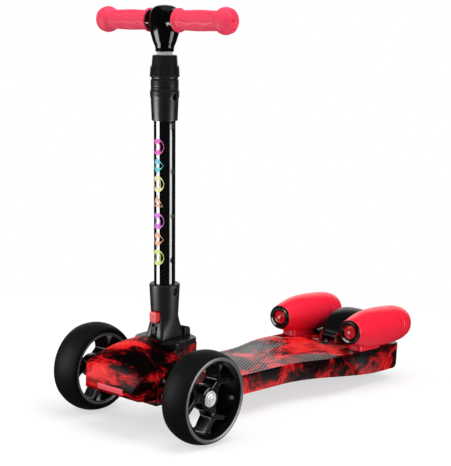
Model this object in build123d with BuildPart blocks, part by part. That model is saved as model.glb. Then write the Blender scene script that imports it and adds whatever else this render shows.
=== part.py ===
import os
from math import atan2, cos, degrees, hypot, radians, sin

from build123d import *

os.makedirs("parts", exist_ok=True)

# Driving dimensions, in millimetres and degrees.
# Layout of the whole scooter
wheelbase = 510
track = 215
front_overhang = 72
pedal_reach = 56
deck_height = 63
stem_foot_back = 33
stem_foot_height = 125
stem_lean = 4.1

# Fits between pieces
running_fit = 0.05
seat_gap = 0.03
moving_gap = 0.3

# Front wheels
wheel_diameter = 130
wheel_width = 45
tyre_shoulder = 6.2
tyre_thickness = 12
rim_wall = 4.5
lip_rise = 5.5
lip_depth = 5
rim_end_inset = 1
hub_radius = 17
hub_width = 24
spoke_face_inset = 9.5
spoke_depth = 8
spoke_stem_width = 10
spoke_arm_width = 6
spoke_stem_length = 13
spoke_arm_angle = 27
spoke_start_angle = 60
spoke_root = 2
bearing_radius = 11
bearing_width = 7
axle_radius = 4
axle_head_radius = 9
axle_head_height = 5
spacer_radius = 6
axle_root_gap = 2

# Steering knuckles, kingpins and tie rod
kingpin_inset = 41.5
kingpin_radius = 4
kingpin_head_radius = 7
kingpin_head_height = 3.5
caster_angle = 12
knuckle_radius = 11
knuckle_height = 28
ear_thickness = 8
ear_half_width = 12
boss_radius = 9
boss_length = 18
arm_length = 32
arm_width = 14
arm_thickness = 8
arm_drop = 12
tie_pin_radius = 3
tie_pin_head = 2
tie_eye_slack = 1.35
tie_rod_thickness = 5
tie_rod_width = 13
tie_rod_room = 2
ear_root = 8

# Front frame under the hood, and the neck
cross_inset = 19
cross_front = 28
cross_nose = 50
cross_back = 20
cross_drop = 22
cross_corner_radius = 6
cross_nose_floor_rise = 2
cross_nose_drop = 38
cross_brow_drop = 17
root_overlap = 1
neck_half_width = 33
neck_back = 66
neck_step_drop = 22
ramp_back = 108
tongue_length = 62
tongue_height = 14
tongue_rise = 4

# Hood
hood_inset = 12
hood_wall = 3
hood_lip_drop = 8
hood_crest_drop = 3
hood_crest_back = 2
hood_corner_radius = 18
hood_side_drop = 37
hood_shoulder_bend = 0.72
hood_shoulder_drop = 13
hood_jaw = 12
hood_rake = 3
hood_lip_band = 8
hood_bulge_back = 19
hood_bulge_drop = 18
hood_rear_top_drop = 32
hood_rear_foot_drop = 45
screw_radius = 3.2
screw_head = 2
screw_inset = 7
screw_low_rise = 14
screw_high_rise = 38

# Fold hinge on the neck
hinge_base_thickness = 8
hinge_base_half_width = 36
hinge_base_length = 66
hinge_base_round = 18
hinge_base_shift = 2
hinge_base_edge = 2
hinge_back = 27
hinge_rise = 6.5
hinge_barrel_radius = 6.3
hinge_pin_radius = 3
hinge_pin_head = 2
hinge_barrel_half = 11.5
hinge_ear_thickness = 6
catch_width = 8
catch_height = 18
catch_thickness = 3

# Fold socket at the foot of the stem
socket_foot_width = 34
socket_foot_depth = 48
socket_foot_round = 5
socket_waist_radius = 19.3
socket_waist_height = 31
socket_mouth_radius = 21.8
socket_height = 78
socket_rim_round = 2
latch_slot_width = 11
latch_slot_height = 22
latch_slot_depth = 7
fold_button_width = 17
fold_button_height = 16
fold_button_depth = 10
fold_button_rise = 32
fold_button_proud = 5
fold_button_travel = 4
fold_button_round = 4
fold_button_edge = 1.5
fold_button_room = 2
snap_radius = 4
snap_height = 68
snap_inner = 9
snap_outer = 18
snap_flange_radius = 6
snap_flange_thickness = 2

# Stem tube, collar and height adjustment
tube_radius = 15
tube_wall = 2
tube_foot = 45
tube_proud = 8
height_hole_radius = 4.4
height_hole_first = 113
height_hole_pitch = 62.7
height_hole_count = 4
sleeve_foot = 308
sleeve_length = 46
sleeve_foot_radius = 18
sleeve_radius = 19.3
sleeve_step_height = 31
sleeve_band_radius = 20.2
sleeve_band_start = 33
sleeve_band_end = 41
sleeve_band_edge = 1
nut_length = 41.5
nut_foot_radius = 19.4
nut_fin_radius = 20.6
nut_top_radius = 17
nut_fin_count = 16
nut_fin_height = 24
nut_fin_width = 3.2
nut_fin_depth = 2.4
nut_fin_start = 13
nut_fin_taper = 4
nut_groove_start = 9
nut_groove_depth = 1
nut_groove_width = 3
nut_edge = 1
nut_lip = 4
collet_flange_radius = 14.6
collet_flange_height = 4
collet_length = 28
collet_slit = 2.5
collet_slit_count = 4
collet_step = 0.8
collet_taper = 2
collet_spigot = 17

# Handlebar
inner_tube_radius = 11
inner_tube_wall = 1.5
inner_tube_tail = 15
guide_bush_length = 9
height_button_radius = 4
height_button_tip = 12.7
height_button_length = 11
height_button_flange_radius = 5
height_button_flange = 2
head_gap = 6.2
bar_rise = 42.3
bar_radius = 9
bar_wall = 2
head_web = 3
bar_half_length = 128
head_foot_radius = 13
head_foot_length = 5
head_lower_bulge = 20.5
head_lower_drop = 14
head_upper_bulge = 21
head_upper_rise = 4
head_crown_radius = 13.2
head_crown_drop = 2.5
head_top_rise = 21
head_sleeve_radius = 15
head_sleeve_end = 24.5
grip_end_wall = 3.53
grip_radius = 13.6
grip_flange_radius = 16.6
grip_flange_thickness = 4
grip_ball_radius = 18
grip_ball_length = 26
grip_end_hole_radius = 2.5
grip_edge = 1
grip_end_shoulder = 14.4
grip_end_round = 4
grip_rib_count = 10
grip_rib_height = 0.9

# Deck
deck_front = 108
deck_half_width = 62
deck_front_half_width = 50
flare_start = 240
flare_end_ahead = 138
rear_half_width = 84
deck_tail = 24
deck_thickness = 29
rear_thickness = 42
drop_start_ahead = 210
drop_end_ahead = 30
deck_corner_radius = 14
deck_front_round = 26
deck_edge_round = 2.5
deck_skin = 6
pad_thickness = 2
pad_margin = 2.5
pad_front_gap = 6
pad_back_gap = 14
pocket_width = 50
pocket_length = 44
pocket_rib = 6
pocket_rows = 5
pocket_first = 176
pocket_corner = 4
slot_half_width = 26
slot_ahead = 58
slot_corner = 6
bolt_seat = 14
bolt_seat_clearance = 3

# Rear wheel and brake
rear_wheel_diameter = 100
rear_wheel_width = 36
rear_tyre_thickness = 14
rear_rim_wall = 4
rear_hub_radius = 16
rear_hub_width = 26
rear_spoke_count = 5
rear_spoke_width = 8
rear_tyre_shoulder = 9
rear_rim_end_inset = 2
rear_axle_head = 8
rear_axle_head_height = 6
rear_nut_radius = 7.5
rear_nut_height = 6
brake_gap = 8
brake_wall = 4
brake_half_width = 23
brake_cheek = 3
brake_cheek_depth = 12
brake_pivot_ahead = 62
brake_pivot_rise = 9
brake_pin_radius = 2.5
brake_barrel_radius = 5.5
brake_barrel_half = 13
brake_lug_thickness = 5
brake_lug_foot = 3
brake_lug_root = 2
brake_front_angle = 158
brake_arm_angle = 150
brake_cheek_front_angle = 140
brake_cheek_back_angle = 70
pedal_lip = 8
pedal_lip_rise = 5

# Rocket lamps on the rear of the deck
rocket_x = 72
rocket_axis_rise = 33.5
rocket_nose_ahead = 111
rocket_nose_radius = 21
rocket_belly_ahead = 26
rocket_belly_radius = 33
rocket_shoulder_ahead = 68
rocket_shoulder_radius = 30.8
rocket_joint_behind = 4
rocket_joint_radius = 32
rocket_tail_behind = 50
rocket_tail_radius = 20
rocket_tail_bend = 16
rocket_tail_bend_radius = 26.5
rocket_wall = 2.6
rocket_groove = 1.6
rocket_spigot = 8
nozzle_radius = 13
nozzle_depth = 14
nozzle_taper = 2
saddle_half_width = 17
saddle_front_gap = 1
saddle_length = 90
saddle_round = 8
nose_ring_radius = 19.8
nose_ring_depth = 11
lens_radius = 12.3
lens_dome = 5
lens_rim_inset = 5.5
lens_back_gap = 3
ring_edge = 4
ring_crown = 0.6
ring_lip = 1.2
ring_lip_width = 2.5
lamp_board_gap = 0.2
lamp_board_back = 2
lamp_board_thickness = 1.4
lamp_led_radius = 2.5
lamp_led_length = 3.5

# Worked out from the driving dimensions
front_axle_y = front_overhang - (front_overhang + wheelbase + pedal_reach) / 2
rear_axle_y = front_axle_y + wheelbase
wheel_radius = wheel_diameter / 2
rear_wheel_radius = rear_wheel_diameter / 2
half_wheel = wheel_width / 2
rim_radius = wheel_radius - tyre_thickness
lip_radius = rim_radius + lip_rise
spoke_fork_radius = hub_radius + spoke_stem_length
rear_rim_radius = rear_wheel_radius - rear_tyre_thickness
kingpin_x = track / 2 - kingpin_inset
cross_half_width = kingpin_x - cross_inset
hood_half_width = kingpin_x - hood_inset
cross_bottom = wheel_radius - cross_drop
hood_lip_height = wheel_radius - hood_lip_drop
hood_crest_height = stem_foot_height - hood_crest_drop
hood_side_height = hood_crest_height - hood_side_drop
hood_rear_top = hood_crest_height - hood_rear_top_drop
hood_rear_foot = hood_crest_height - hood_rear_foot_drop
cross_nose_floor = hood_lip_height + cross_nose_floor_rise
cross_nose_height = hood_crest_height - cross_nose_drop
cross_brow_height = hood_crest_height - cross_brow_drop
neck_step = stem_foot_height - neck_step_drop
deck_bottom = deck_height - deck_thickness
rear_bottom = deck_height - rear_thickness
tongue_bottom = deck_bottom + tongue_rise
deck_back = wheelbase + deck_tail
flare_end = wheelbase - flare_end_ahead
drop_start = wheelbase - drop_start_ahead
drop_end = wheelbase - drop_end_ahead
slot_front = wheelbase - slot_ahead
brake_pivot_height = deck_height + brake_pivot_rise
rocket_axis_height = deck_height + rocket_axis_rise
rocket_nose = wheelbase - rocket_nose_ahead
rocket_shoulder = wheelbase - rocket_shoulder_ahead
rocket_belly = wheelbase - rocket_belly_ahead
rocket_joint = wheelbase + rocket_joint_behind
rocket_tail = wheelbase + rocket_tail_behind
saddle_front = rocket_nose + saddle_front_gap
sleeve_top = sleeve_foot + sleeve_length
tube_top = sleeve_top + tube_proud
nut_foot = sleeve_top + moving_gap
nut_top = nut_foot + nut_length
head_foot = nut_top + head_gap
bar_height = head_foot + bar_rise
inner_tube_foot = height_hole_first - inner_tube_tail
lean = radians(stem_lean)
caster = radians(caster_angle)

floor = Plane((0, front_axle_y, 0))
side = Plane((0, front_axle_y, 0), x_dir=(0, 1, 0), z_dir=(1, 0, 0))
front = Plane((0, front_axle_y, 0), x_dir=(1, 0, 0), z_dir=(0, -1, 0))
stem_foot = (0, front_axle_y + stem_foot_back, stem_foot_height)
stem = Plane(stem_foot, x_dir=(1, 0, 0), z_dir=(0, -sin(lean), cos(lean)))
stem_side = Plane(stem_foot, x_dir=(0, cos(lean), sin(lean)), z_dir=(1, 0, 0))
stem_front = Plane(stem_foot, x_dir=(1, 0, 0), z_dir=(0, -cos(lean), -sin(lean)))
kingpin_tilt = (0, sin(caster), cos(caster))
kingpin_frame = Plane((kingpin_x, front_axle_y, wheel_radius), x_dir=(1, 0, 0), z_dir=kingpin_tilt)
rod_frame = Plane((0, front_axle_y, wheel_radius), x_dir=(1, 0, 0), z_dir=kingpin_tilt)


def save(piece, name):
    piece.part.label = name
    export_step(piece.part, f"parts/{name}.step")


def save_pair(piece, name):
    save(piece, f"{name}_left")
    with BuildPart() as twin:
        mirror(piece.part, about=Plane.YZ)
    save(twin, f"{name}_right")


def across(x, y, z):
    return Plane((x, y, z), x_dir=(0, 1, 0), z_dir=(1, 0, 0))


def wheel_section(x, y, z):
    return Plane((x, y, z), x_dir=(1, 0, 0), z_dir=(0, -1, 0))


def tube_point(height):
    spot = stem.from_local_coords(Vector(0, 0, height))
    return (spot.Y, spot.Z)


# Front wheel: tyre, rim, bearings and spacer, turning about the axle
wheel_x = track / 2
front_hub = wheel_section(wheel_x, front_axle_y, wheel_radius)
front_spin = Axis((wheel_x, front_axle_y, wheel_radius), (1, 0, 0))

with BuildPart() as front_tyre:
    tyre_bore = rim_radius + seat_gap
    with BuildSketch(front_hub) as tyre_section:
        with Locations((0, (tyre_bore + wheel_radius) / 2)):
            Rectangle(wheel_width, wheel_radius - tyre_bore)
        fillet(tyre_section.vertices().group_by(Axis.Y)[-1], tyre_shoulder)
        with Locations((half_wheel - lip_depth / 2, (tyre_bore + lip_radius) / 2)):
            Rectangle(lip_depth + 2 * seat_gap, lip_radius - tyre_bore + 2 * seat_gap, mode=Mode.SUBTRACT)
    revolve(axis=front_spin)
save_pair(front_tyre, "front_tyre")

with BuildPart() as front_rim:
    rim_bore = rim_radius - rim_wall
    hub_bore = bearing_radius + seat_gap
    with BuildSketch(front_hub):
        with Locations(((rim_end_inset - lip_depth / 2) / 2, (rim_bore + rim_radius) / 2)):
            Rectangle(wheel_width - rim_end_inset - lip_depth / 2, rim_wall)
        with Locations((half_wheel - lip_depth / 2, (rim_bore + lip_radius) / 2)):
            Rectangle(lip_depth, lip_radius - rim_bore)
        with Locations((0, (hub_bore + hub_radius) / 2)):
            Rectangle(hub_width, hub_radius - hub_bore)
    revolve(axis=front_spin)
    with BuildSketch(across(wheel_x + half_wheel - spoke_face_inset, front_axle_y, wheel_radius)):
        arm_end = rim_bore + (rim_wall - spoke_arm_width) / 2
        arm_x = arm_end * cos(radians(spoke_arm_angle))
        arm_y = arm_end * sin(radians(spoke_arm_angle))
        arm_turn = degrees(atan2(arm_y, arm_x - spoke_fork_radius))
        arm_reach = hypot(arm_y, arm_x - spoke_fork_radius)
        with PolarLocations(0, 3, start_angle=spoke_start_angle):
            with Locations(((hub_radius - spoke_root + spoke_fork_radius) / 2, 0)):
                SlotCenterToCenter(spoke_fork_radius - hub_radius + spoke_root, spoke_stem_width)
            for turn in (1, -1):
                with Locations(((spoke_fork_radius + arm_x) / 2, turn * arm_y / 2)):
                    SlotCenterToCenter(arm_reach, spoke_arm_width, rotation=turn * arm_turn)
        Circle(hub_radius)
        Circle(hub_bore, mode=Mode.SUBTRACT)
    extrude(amount=-spoke_depth)
save_pair(front_rim, "front_rim")

bearing_bore = axle_radius + running_fit
bearing_start = hub_width / 2 - bearing_width
with BuildPart() as front_bearings:
    for start in (-hub_width / 2, bearing_start):
        with BuildSketch(across(wheel_x + start, front_axle_y, wheel_radius)):
            Circle(bearing_radius)
            Circle(bearing_bore, mode=Mode.SUBTRACT)
        extrude(amount=bearing_width)
save_pair(front_bearings, "front_bearings")

with BuildPart() as front_spacer:
    with BuildSketch(across(wheel_x - bearing_start, front_axle_y, wheel_radius)):
        Circle(spacer_radius)
        Circle(bearing_bore, mode=Mode.SUBTRACT)
    extrude(amount=2 * bearing_start)
save_pair(front_spacer, "front_spacer")

# Steering knuckle with its stub axle, turning about the kingpin
arm_top = arm_thickness - arm_drop
with BuildPart(kingpin_frame) as knuckle:
    Cylinder(knuckle_radius, knuckle_height)
    with BuildSketch(across(kingpin_x, front_axle_y, wheel_radius)):
        Circle(boss_radius)
    extrude(amount=boss_length)
    with BuildSketch(across(kingpin_x + boss_length, front_axle_y, wheel_radius)):
        Circle(spacer_radius)
    extrude(amount=wheel_x - hub_width / 2 - moving_gap - kingpin_x - boss_length)
    with BuildSketch(kingpin_frame.offset(-arm_drop)):
        with Locations((0, arm_length / 2)):
            SlotCenterToCenter(arm_length, arm_width, rotation=90)
    extrude(amount=arm_thickness)
    with BuildSketch(kingpin_frame.offset(arm_top)):
        with Locations((0, arm_length)):
            Circle(tie_pin_radius)
    extrude(amount=tie_rod_thickness + 2 * moving_gap)
    with BuildSketch(kingpin_frame.offset(arm_top + tie_rod_thickness + 2 * moving_gap)):
        with Locations((0, arm_length)):
            Circle(tie_rod_width / 2)
    extrude(amount=tie_pin_head)
    Cylinder(kingpin_radius + running_fit, knuckle_height, mode=Mode.SUBTRACT)
    with BuildSketch(across(kingpin_x + kingpin_radius, front_axle_y, wheel_radius)):
        Circle(axle_radius + seat_gap)
    extrude(amount=wheel_x - kingpin_x, mode=Mode.SUBTRACT)
save_pair(knuckle, "knuckle")

axle_start = kingpin_x + kingpin_radius + axle_root_gap
axle_end = wheel_x + hub_width / 2 + moving_gap
with BuildPart() as front_axle:
    with BuildSketch(across(axle_start, front_axle_y, wheel_radius)):
        Circle(axle_radius)
    extrude(amount=axle_end - axle_start)
    with BuildSketch(across(axle_end, front_axle_y, wheel_radius)):
        Circle(axle_head_radius)
    extrude(amount=axle_head_height)
    fillet(front_axle.edges().sort_by(Axis.X)[-1], axle_head_height / 3)
save_pair(front_axle, "front_axle")

ear_start = knuckle_height / 2 + moving_gap
ear_end = ear_start + ear_thickness
with BuildPart(kingpin_frame) as kingpin:
    Cylinder(kingpin_radius, 2 * ear_end)
    with Locations((0, 0, ear_end + kingpin_head_height / 2)):
        Cylinder(kingpin_head_radius, kingpin_head_height)
    with Locations((0, 0, -ear_end - kingpin_head_height / 2)):
        Cylinder(kingpin_head_radius, kingpin_head_height)
save_pair(kingpin, "kingpin")

rod_bottom = arm_top + moving_gap
with BuildPart() as tie_rod:
    with BuildSketch(rod_frame.offset(rod_bottom)):
        with Locations((0, arm_length)):
            SlotCenterToCenter(2 * kingpin_x, tie_rod_width)
        with Locations((-kingpin_x, arm_length), (kingpin_x, arm_length)):
            Circle(tie_pin_radius + tie_eye_slack, mode=Mode.SUBTRACT)
    extrude(amount=tie_rod_thickness)
save(tie_rod, "tie_rod")

# Front view of the hood: upright sides that round over to the crest
def shoulder_outline(inset, bottom):
    half = hood_half_width - inset
    crest = hood_crest_height + root_overlap - inset
    with BuildLine() as outline:
        Line((0, bottom), (half, bottom))
        Line((half, bottom), (half, hood_side_height))
        Spline(
            (half, hood_side_height),
            (half * hood_shoulder_bend, crest - hood_shoulder_drop),
            (0, crest),
            tangents=[(0, 1), (-1, 0)],
        )
        mirror(about=Plane.YZ)
    return outline


# Front frame: cross block with kingpin ears, neck under the fold hinge, tongue under the deck
with BuildPart() as front_frame:
    neck_top = stem_foot_height + hinge_base_thickness
    with BuildSketch(side):
        with BuildLine():
            Polyline(
                (-cross_front, cross_bottom),
                (-cross_front, cross_nose_floor),
                (-cross_nose, cross_nose_floor),
                (-cross_nose, cross_nose_height),
                (-cross_front, cross_brow_height),
                (0, neck_top),
                (cross_back, neck_top),
                (cross_back, cross_bottom),
                close=True,
            )
        make_face()
    extrude(amount=cross_half_width, both=True)
    with BuildSketch(front):
        add(shoulder_outline(hood_wall + moving_gap, 0))
        make_face()
    extrude(amount=2 * front_overhang, both=True, mode=Mode.INTERSECT)
    with BuildSketch(side):
        with BuildLine():
            Polyline(
                (ramp_back, tongue_bottom),
                (cross_back - root_overlap, tongue_bottom),
                (cross_back - root_overlap, neck_top),
                (neck_back, neck_top),
                (neck_back, neck_step),
            )
            Spline(
                (neck_back, neck_step),
                (ramp_back, deck_height),
                tangents=[(0.15, -1), (1, -0.25)],
            )
            Line((ramp_back, deck_height), (ramp_back, tongue_bottom))
        make_face()
        with Locations((ramp_back + (tongue_length - root_overlap) / 2, tongue_bottom + tongue_height / 2)):
            Rectangle(tongue_length + root_overlap, tongue_height)
    extrude(amount=neck_half_width, both=True)
    split(bisect_by=stem.offset(-hinge_base_thickness), keep=Keep.BOTTOM)
    fillet(front_frame.edges().filter_by(Axis.Z).group_by(Axis.Y)[0], cross_corner_radius)
    for end in (1, -1):
        for start in (ear_start, -ear_end):
            with BuildSketch(rod_frame.offset(start)):
                with Locations((end * (cross_half_width + kingpin_x - ear_root) / 2, 0)):
                    Rectangle(kingpin_x - cross_half_width + ear_root, 2 * ear_half_width)
                with Locations((end * kingpin_x, 0)):
                    Circle(ear_half_width)
                with Locations((end * kingpin_x, 0)):
                    Circle(kingpin_radius + seat_gap, mode=Mode.SUBTRACT)
            extrude(amount=ear_thickness)
    with BuildSketch(rod_frame.offset(arm_top - tie_rod_room / 2)):
        with Locations((0, arm_length)):
            Rectangle(3 * cross_half_width, tie_rod_width + 2 * tie_rod_room)
    extrude(amount=tie_rod_thickness + 1.5 * tie_rod_room, mode=Mode.SUBTRACT)
save(front_frame, "front_frame")


# Hood over the front of the frame, a thin shell open behind and below
def hood_form(inset):
    back = hood_wall * 4 if inset else 0
    slant = inset * sin(radians(45))
    lip = hood_lip_height - back
    crest = hood_crest_height - inset
    with BuildPart() as form:
        with BuildSketch(side):
            with BuildLine():
                Polyline(
                    (-cross_front - hood_jaw + back, lip),
                    (-front_overhang + hood_rake + inset, lip),
                    (-front_overhang + inset, hood_lip_height + hood_lip_band),
                )
                Spline(
                    (-front_overhang + inset, hood_lip_height + hood_lip_band),
                    (-front_overhang + hood_bulge_back + slant, hood_crest_height - hood_bulge_drop - slant),
                    (hood_crest_back + back, crest),
                    tangents=[(0, 1), (1, 0.1)],
                )
                Polyline(
                    (hood_crest_back + back, crest),
                    (-cross_front + back, hood_rear_top),
                    (-cross_front - hood_jaw + back, hood_rear_foot),
                    (-cross_front - hood_jaw + back, lip),
                )
            make_face()
        extrude(amount=hood_half_width * 2, both=True)
        half = hood_half_width - inset
        with BuildSketch(front):
            add(shoulder_outline(inset, lip))
            make_face()
        extrude(amount=2 * front_overhang, both=True, mode=Mode.INTERSECT)
        with BuildSketch(floor):
            with Locations((0, (2 * cross_front - front_overhang + inset) / 2)):
                reach = 2 * cross_front + front_overhang - inset
                RectangleRounded(2 * half, reach, hood_corner_radius - inset)
        extrude(amount=2 * hood_crest_height, mode=Mode.INTERSECT)
    return form.part


hood_solid = hood_form(0)
hood_hollow = hood_form(hood_wall)
with BuildPart() as hood:
    add(hood_solid)
    add(hood_hollow, mode=Mode.SUBTRACT)
save(hood, "hood")

# Fold hinge base on the neck, with two ears, and the catch tongue in front
hinge_ear_start = hinge_barrel_half + moving_gap
with BuildPart() as hinge_base:
    with BuildSketch(stem.offset(-hinge_base_thickness)):
        with Locations((0, hinge_base_shift)):
            RectangleRounded(2 * hinge_base_half_width, hinge_base_length, hinge_base_round)
    extrude(amount=hinge_base_thickness)
    fillet(hinge_base.faces().sort_by(Axis.Z)[-1].edges(), hinge_base_edge)
    for end in (1, -1):
        start = hinge_ear_start if end > 0 else -hinge_ear_start - hinge_ear_thickness
        with BuildSketch(stem_side.offset(start)):
            with Locations((hinge_back, hinge_rise)):
                Circle(hinge_barrel_radius)
            with Locations((hinge_back, (hinge_rise - hinge_base_edge) / 2)):
                Rectangle(2 * hinge_barrel_radius, hinge_rise + hinge_base_edge)
            with Locations((hinge_back, hinge_rise)):
                Circle(hinge_pin_radius + seat_gap, mode=Mode.SUBTRACT)
        extrude(amount=hinge_ear_thickness)
    with BuildSketch(stem.offset(-root_overlap)):
        with Locations((0, -socket_foot_depth / 2 + catch_thickness / 2 + root_overlap)):
            Rectangle(catch_width, catch_thickness)
    extrude(amount=catch_height + root_overlap)
save(hinge_base, "hinge_base")

with BuildPart() as hinge_pin:
    hinge_pin_half = hinge_ear_start + hinge_ear_thickness
    with BuildSketch(stem_side.offset(-hinge_pin_half)):
        with Locations((hinge_back, hinge_rise)):
            Circle(hinge_pin_radius)
    extrude(amount=2 * hinge_pin_half)
    for start in (-hinge_pin_half - hinge_pin_head, hinge_pin_half):
        with BuildSketch(stem_side.offset(start)):
            with Locations((hinge_back, hinge_rise)):
                Circle(hinge_pin_radius + hinge_pin_head)
        extrude(amount=hinge_pin_head)
save(hinge_pin, "hinge_pin")

# Fold socket: flared foot, waist and mouth that holds the stem tube
button_back = -socket_waist_radius - fold_button_proud + fold_button_depth
with BuildPart() as stem_socket:
    with BuildSketch(stem.offset(moving_gap)):
        RectangleRounded(socket_foot_width, socket_foot_depth, socket_foot_round)
    with BuildSketch(stem.offset(socket_waist_height)):
        Circle(socket_waist_radius)
    loft()
    with BuildSketch(stem.offset(socket_waist_height)):
        Circle(socket_waist_radius)
    with BuildSketch(stem.offset(socket_height)):
        Circle(socket_mouth_radius)
    loft()
    fillet(stem_socket.faces().sort_by(Axis.Z)[-1].edges(), socket_rim_round)
    with BuildSketch(stem.offset(tube_foot)):
        Circle(tube_radius + seat_gap)
    extrude(amount=socket_height, mode=Mode.SUBTRACT)
    with BuildSketch(stem_side.offset(-hinge_barrel_half)):
        with BuildLine():
            Polyline(
                (hinge_back - hinge_barrel_radius * 2, moving_gap),
                (hinge_back, moving_gap),
                (hinge_back, hinge_rise + hinge_barrel_radius),
                (hinge_back - hinge_barrel_radius * 2, hinge_rise + hinge_barrel_radius),
                close=True,
            )
        make_face()
        with Locations((hinge_back, hinge_rise)):
            Circle(hinge_barrel_radius - moving_gap)
    extrude(amount=2 * hinge_barrel_half)
    with BuildSketch(stem_side.offset(-socket_foot_width)):
        with Locations((hinge_back, hinge_rise)):
            Circle(hinge_pin_radius + running_fit)
    extrude(amount=2 * socket_foot_width, mode=Mode.SUBTRACT)
    for start in (hinge_barrel_half, -hinge_barrel_half - socket_foot_width):
        with BuildSketch(stem_side.offset(start)):
            with Locations((hinge_back, hinge_rise)):
                Circle(hinge_barrel_radius + 2 * moving_gap)
            with Locations((hinge_back, 0)):
                Rectangle(2 * hinge_barrel_radius + 4 * moving_gap, 2 * hinge_rise)
        extrude(amount=socket_foot_width, mode=Mode.SUBTRACT)
    with BuildSketch(stem):
        with Locations((0, -socket_foot_depth / 2)):
            Rectangle(latch_slot_width, 2 * latch_slot_depth)
    extrude(amount=latch_slot_height, mode=Mode.SUBTRACT)
    with BuildSketch(stem_front.offset(-button_back - fold_button_travel - fold_button_room)):
        with Locations((0, fold_button_rise)):
            RectangleRounded(
                fold_button_width + 2 * moving_gap, fold_button_height + 2 * moving_gap, fold_button_round
            )
    extrude(amount=socket_foot_depth, mode=Mode.SUBTRACT)
    with BuildSketch(across(0, 0, 0)):
        with Locations(tube_point(snap_height)):
            Circle(snap_radius + 2 * moving_gap)
    extrude(amount=2 * socket_mouth_radius, mode=Mode.SUBTRACT)
save(stem_socket, "stem_socket")

with BuildPart() as fold_button:
    with BuildSketch(stem_front.offset(-button_back)):
        with Locations((0, fold_button_rise)):
            RectangleRounded(fold_button_width, fold_button_height, fold_button_round)
    extrude(amount=fold_button_depth)
    fillet(fold_button.faces().sort_by(Axis.Y)[0].edges(), fold_button_edge)
save(fold_button, "fold_button")

# Stem tube with its height holes on the rider's left
with BuildPart() as stem_tube:
    with BuildSketch(stem.offset(tube_foot)):
        Circle(tube_radius)
        Circle(tube_radius - tube_wall, mode=Mode.SUBTRACT)
    extrude(amount=tube_top - tube_foot)
    with BuildSketch(across(0, 0, 0)):
        for level in range(height_hole_count):
            with Locations(tube_point(height_hole_first + level * height_hole_pitch)):
                Circle(height_hole_radius)
        with Locations(tube_point(snap_height)):
            Circle(snap_radius + moving_gap)
    extrude(amount=2 * tube_radius, mode=Mode.SUBTRACT)
save(stem_tube, "stem_tube")

with BuildPart() as stem_snap_button:
    with BuildSketch(across(snap_inner + snap_flange_thickness, 0, 0)):
        with Locations(tube_point(snap_height)):
            Circle(snap_radius)
    extrude(amount=snap_outer - snap_inner - snap_flange_thickness)
    fillet(stem_snap_button.edges().sort_by(Axis.X)[-1], snap_radius / 3)
    with BuildSketch(across(snap_inner, 0, 0)):
        with Locations(tube_point(snap_height)):
            Circle(snap_flange_radius)
    extrude(amount=snap_flange_thickness)
save(stem_snap_button, "stem_snap_button")

# Height collar: sleeve on the tube, split collet in its top, and the twist nut over it
stem_turn = Axis(stem_foot, (0, -sin(lean), cos(lean)))
with BuildPart() as collar_sleeve:
    with BuildSketch(stem_front):
        with BuildLine():
            Polyline(
                (tube_radius + seat_gap, sleeve_foot),
                (sleeve_foot_radius, sleeve_foot),
                (sleeve_radius, sleeve_foot + sleeve_step_height),
                (sleeve_band_radius, sleeve_foot + sleeve_band_start),
                (sleeve_band_radius, sleeve_foot + sleeve_band_end),
                (sleeve_radius, sleeve_foot + sleeve_band_end + sleeve_band_edge),
                (sleeve_radius, sleeve_top),
                (tube_radius + seat_gap, sleeve_top),
                close=True,
            )
        make_face()
    revolve(axis=stem_turn)
    with BuildSketch(across(0, 0, 0)):
        with Locations(tube_point(sleeve_foot + sleeve_band_start)):
            Circle(snap_radius)
    extrude(amount=2 * sleeve_radius, mode=Mode.SUBTRACT)
save(collar_sleeve, "collar_sleeve")

collet_bore = inner_tube_radius + running_fit
with BuildPart() as collet:
    with BuildSketch(stem_front):
        with BuildLine():
            Polyline(
                (collet_bore, tube_top - collet_spigot),
                (tube_radius - tube_wall - seat_gap, tube_top - collet_spigot),
                (tube_radius - tube_wall - seat_gap, tube_top),
                (collet_flange_radius, tube_top),
                (collet_flange_radius, tube_top + collet_flange_height),
                (collet_flange_radius - collet_step, tube_top + collet_flange_height),
                (collet_flange_radius - collet_taper, tube_top + collet_length),
                (collet_bore, tube_top + collet_length),
                close=True,
            )
        make_face()
    revolve(axis=stem_turn)
    with BuildSketch(stem.offset(tube_top + collet_flange_height)):
        with PolarLocations(collet_flange_radius, collet_slit_count):
            Rectangle(collet_flange_radius, collet_slit)
    extrude(amount=collet_length, mode=Mode.SUBTRACT)
save(collet, "collet")

with BuildPart() as collar_nut:
    with BuildSketch(stem_front):
        with BuildLine():
            Polyline(
                (tube_radius + moving_gap, nut_foot),
                (nut_foot_radius, nut_foot),
                (nut_foot_radius, nut_foot + nut_groove_start),
                (nut_foot_radius - nut_groove_depth, nut_foot + nut_groove_start + nut_groove_depth),
                (nut_foot_radius - nut_groove_depth, nut_foot + nut_groove_start + nut_groove_width),
                (nut_foot_radius, nut_foot + nut_fin_start),
                (nut_top_radius, nut_top - nut_edge),
                (nut_top_radius - nut_edge, nut_top),
                (inner_tube_radius + moving_gap, nut_top),
                (inner_tube_radius + moving_gap, nut_top - nut_lip),
                (tube_radius + moving_gap, nut_top - nut_lip),
                close=True,
            )
        make_face()
    revolve(axis=stem_turn)
    with BuildSketch(stem.offset(nut_foot + nut_fin_start)):
        with PolarLocations(nut_fin_radius - nut_fin_depth / 2, nut_fin_count):
            Rectangle(nut_fin_depth, nut_fin_width)
    extrude(amount=nut_fin_height, taper=nut_fin_taper)
save(collar_nut, "collar_nut")

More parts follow.
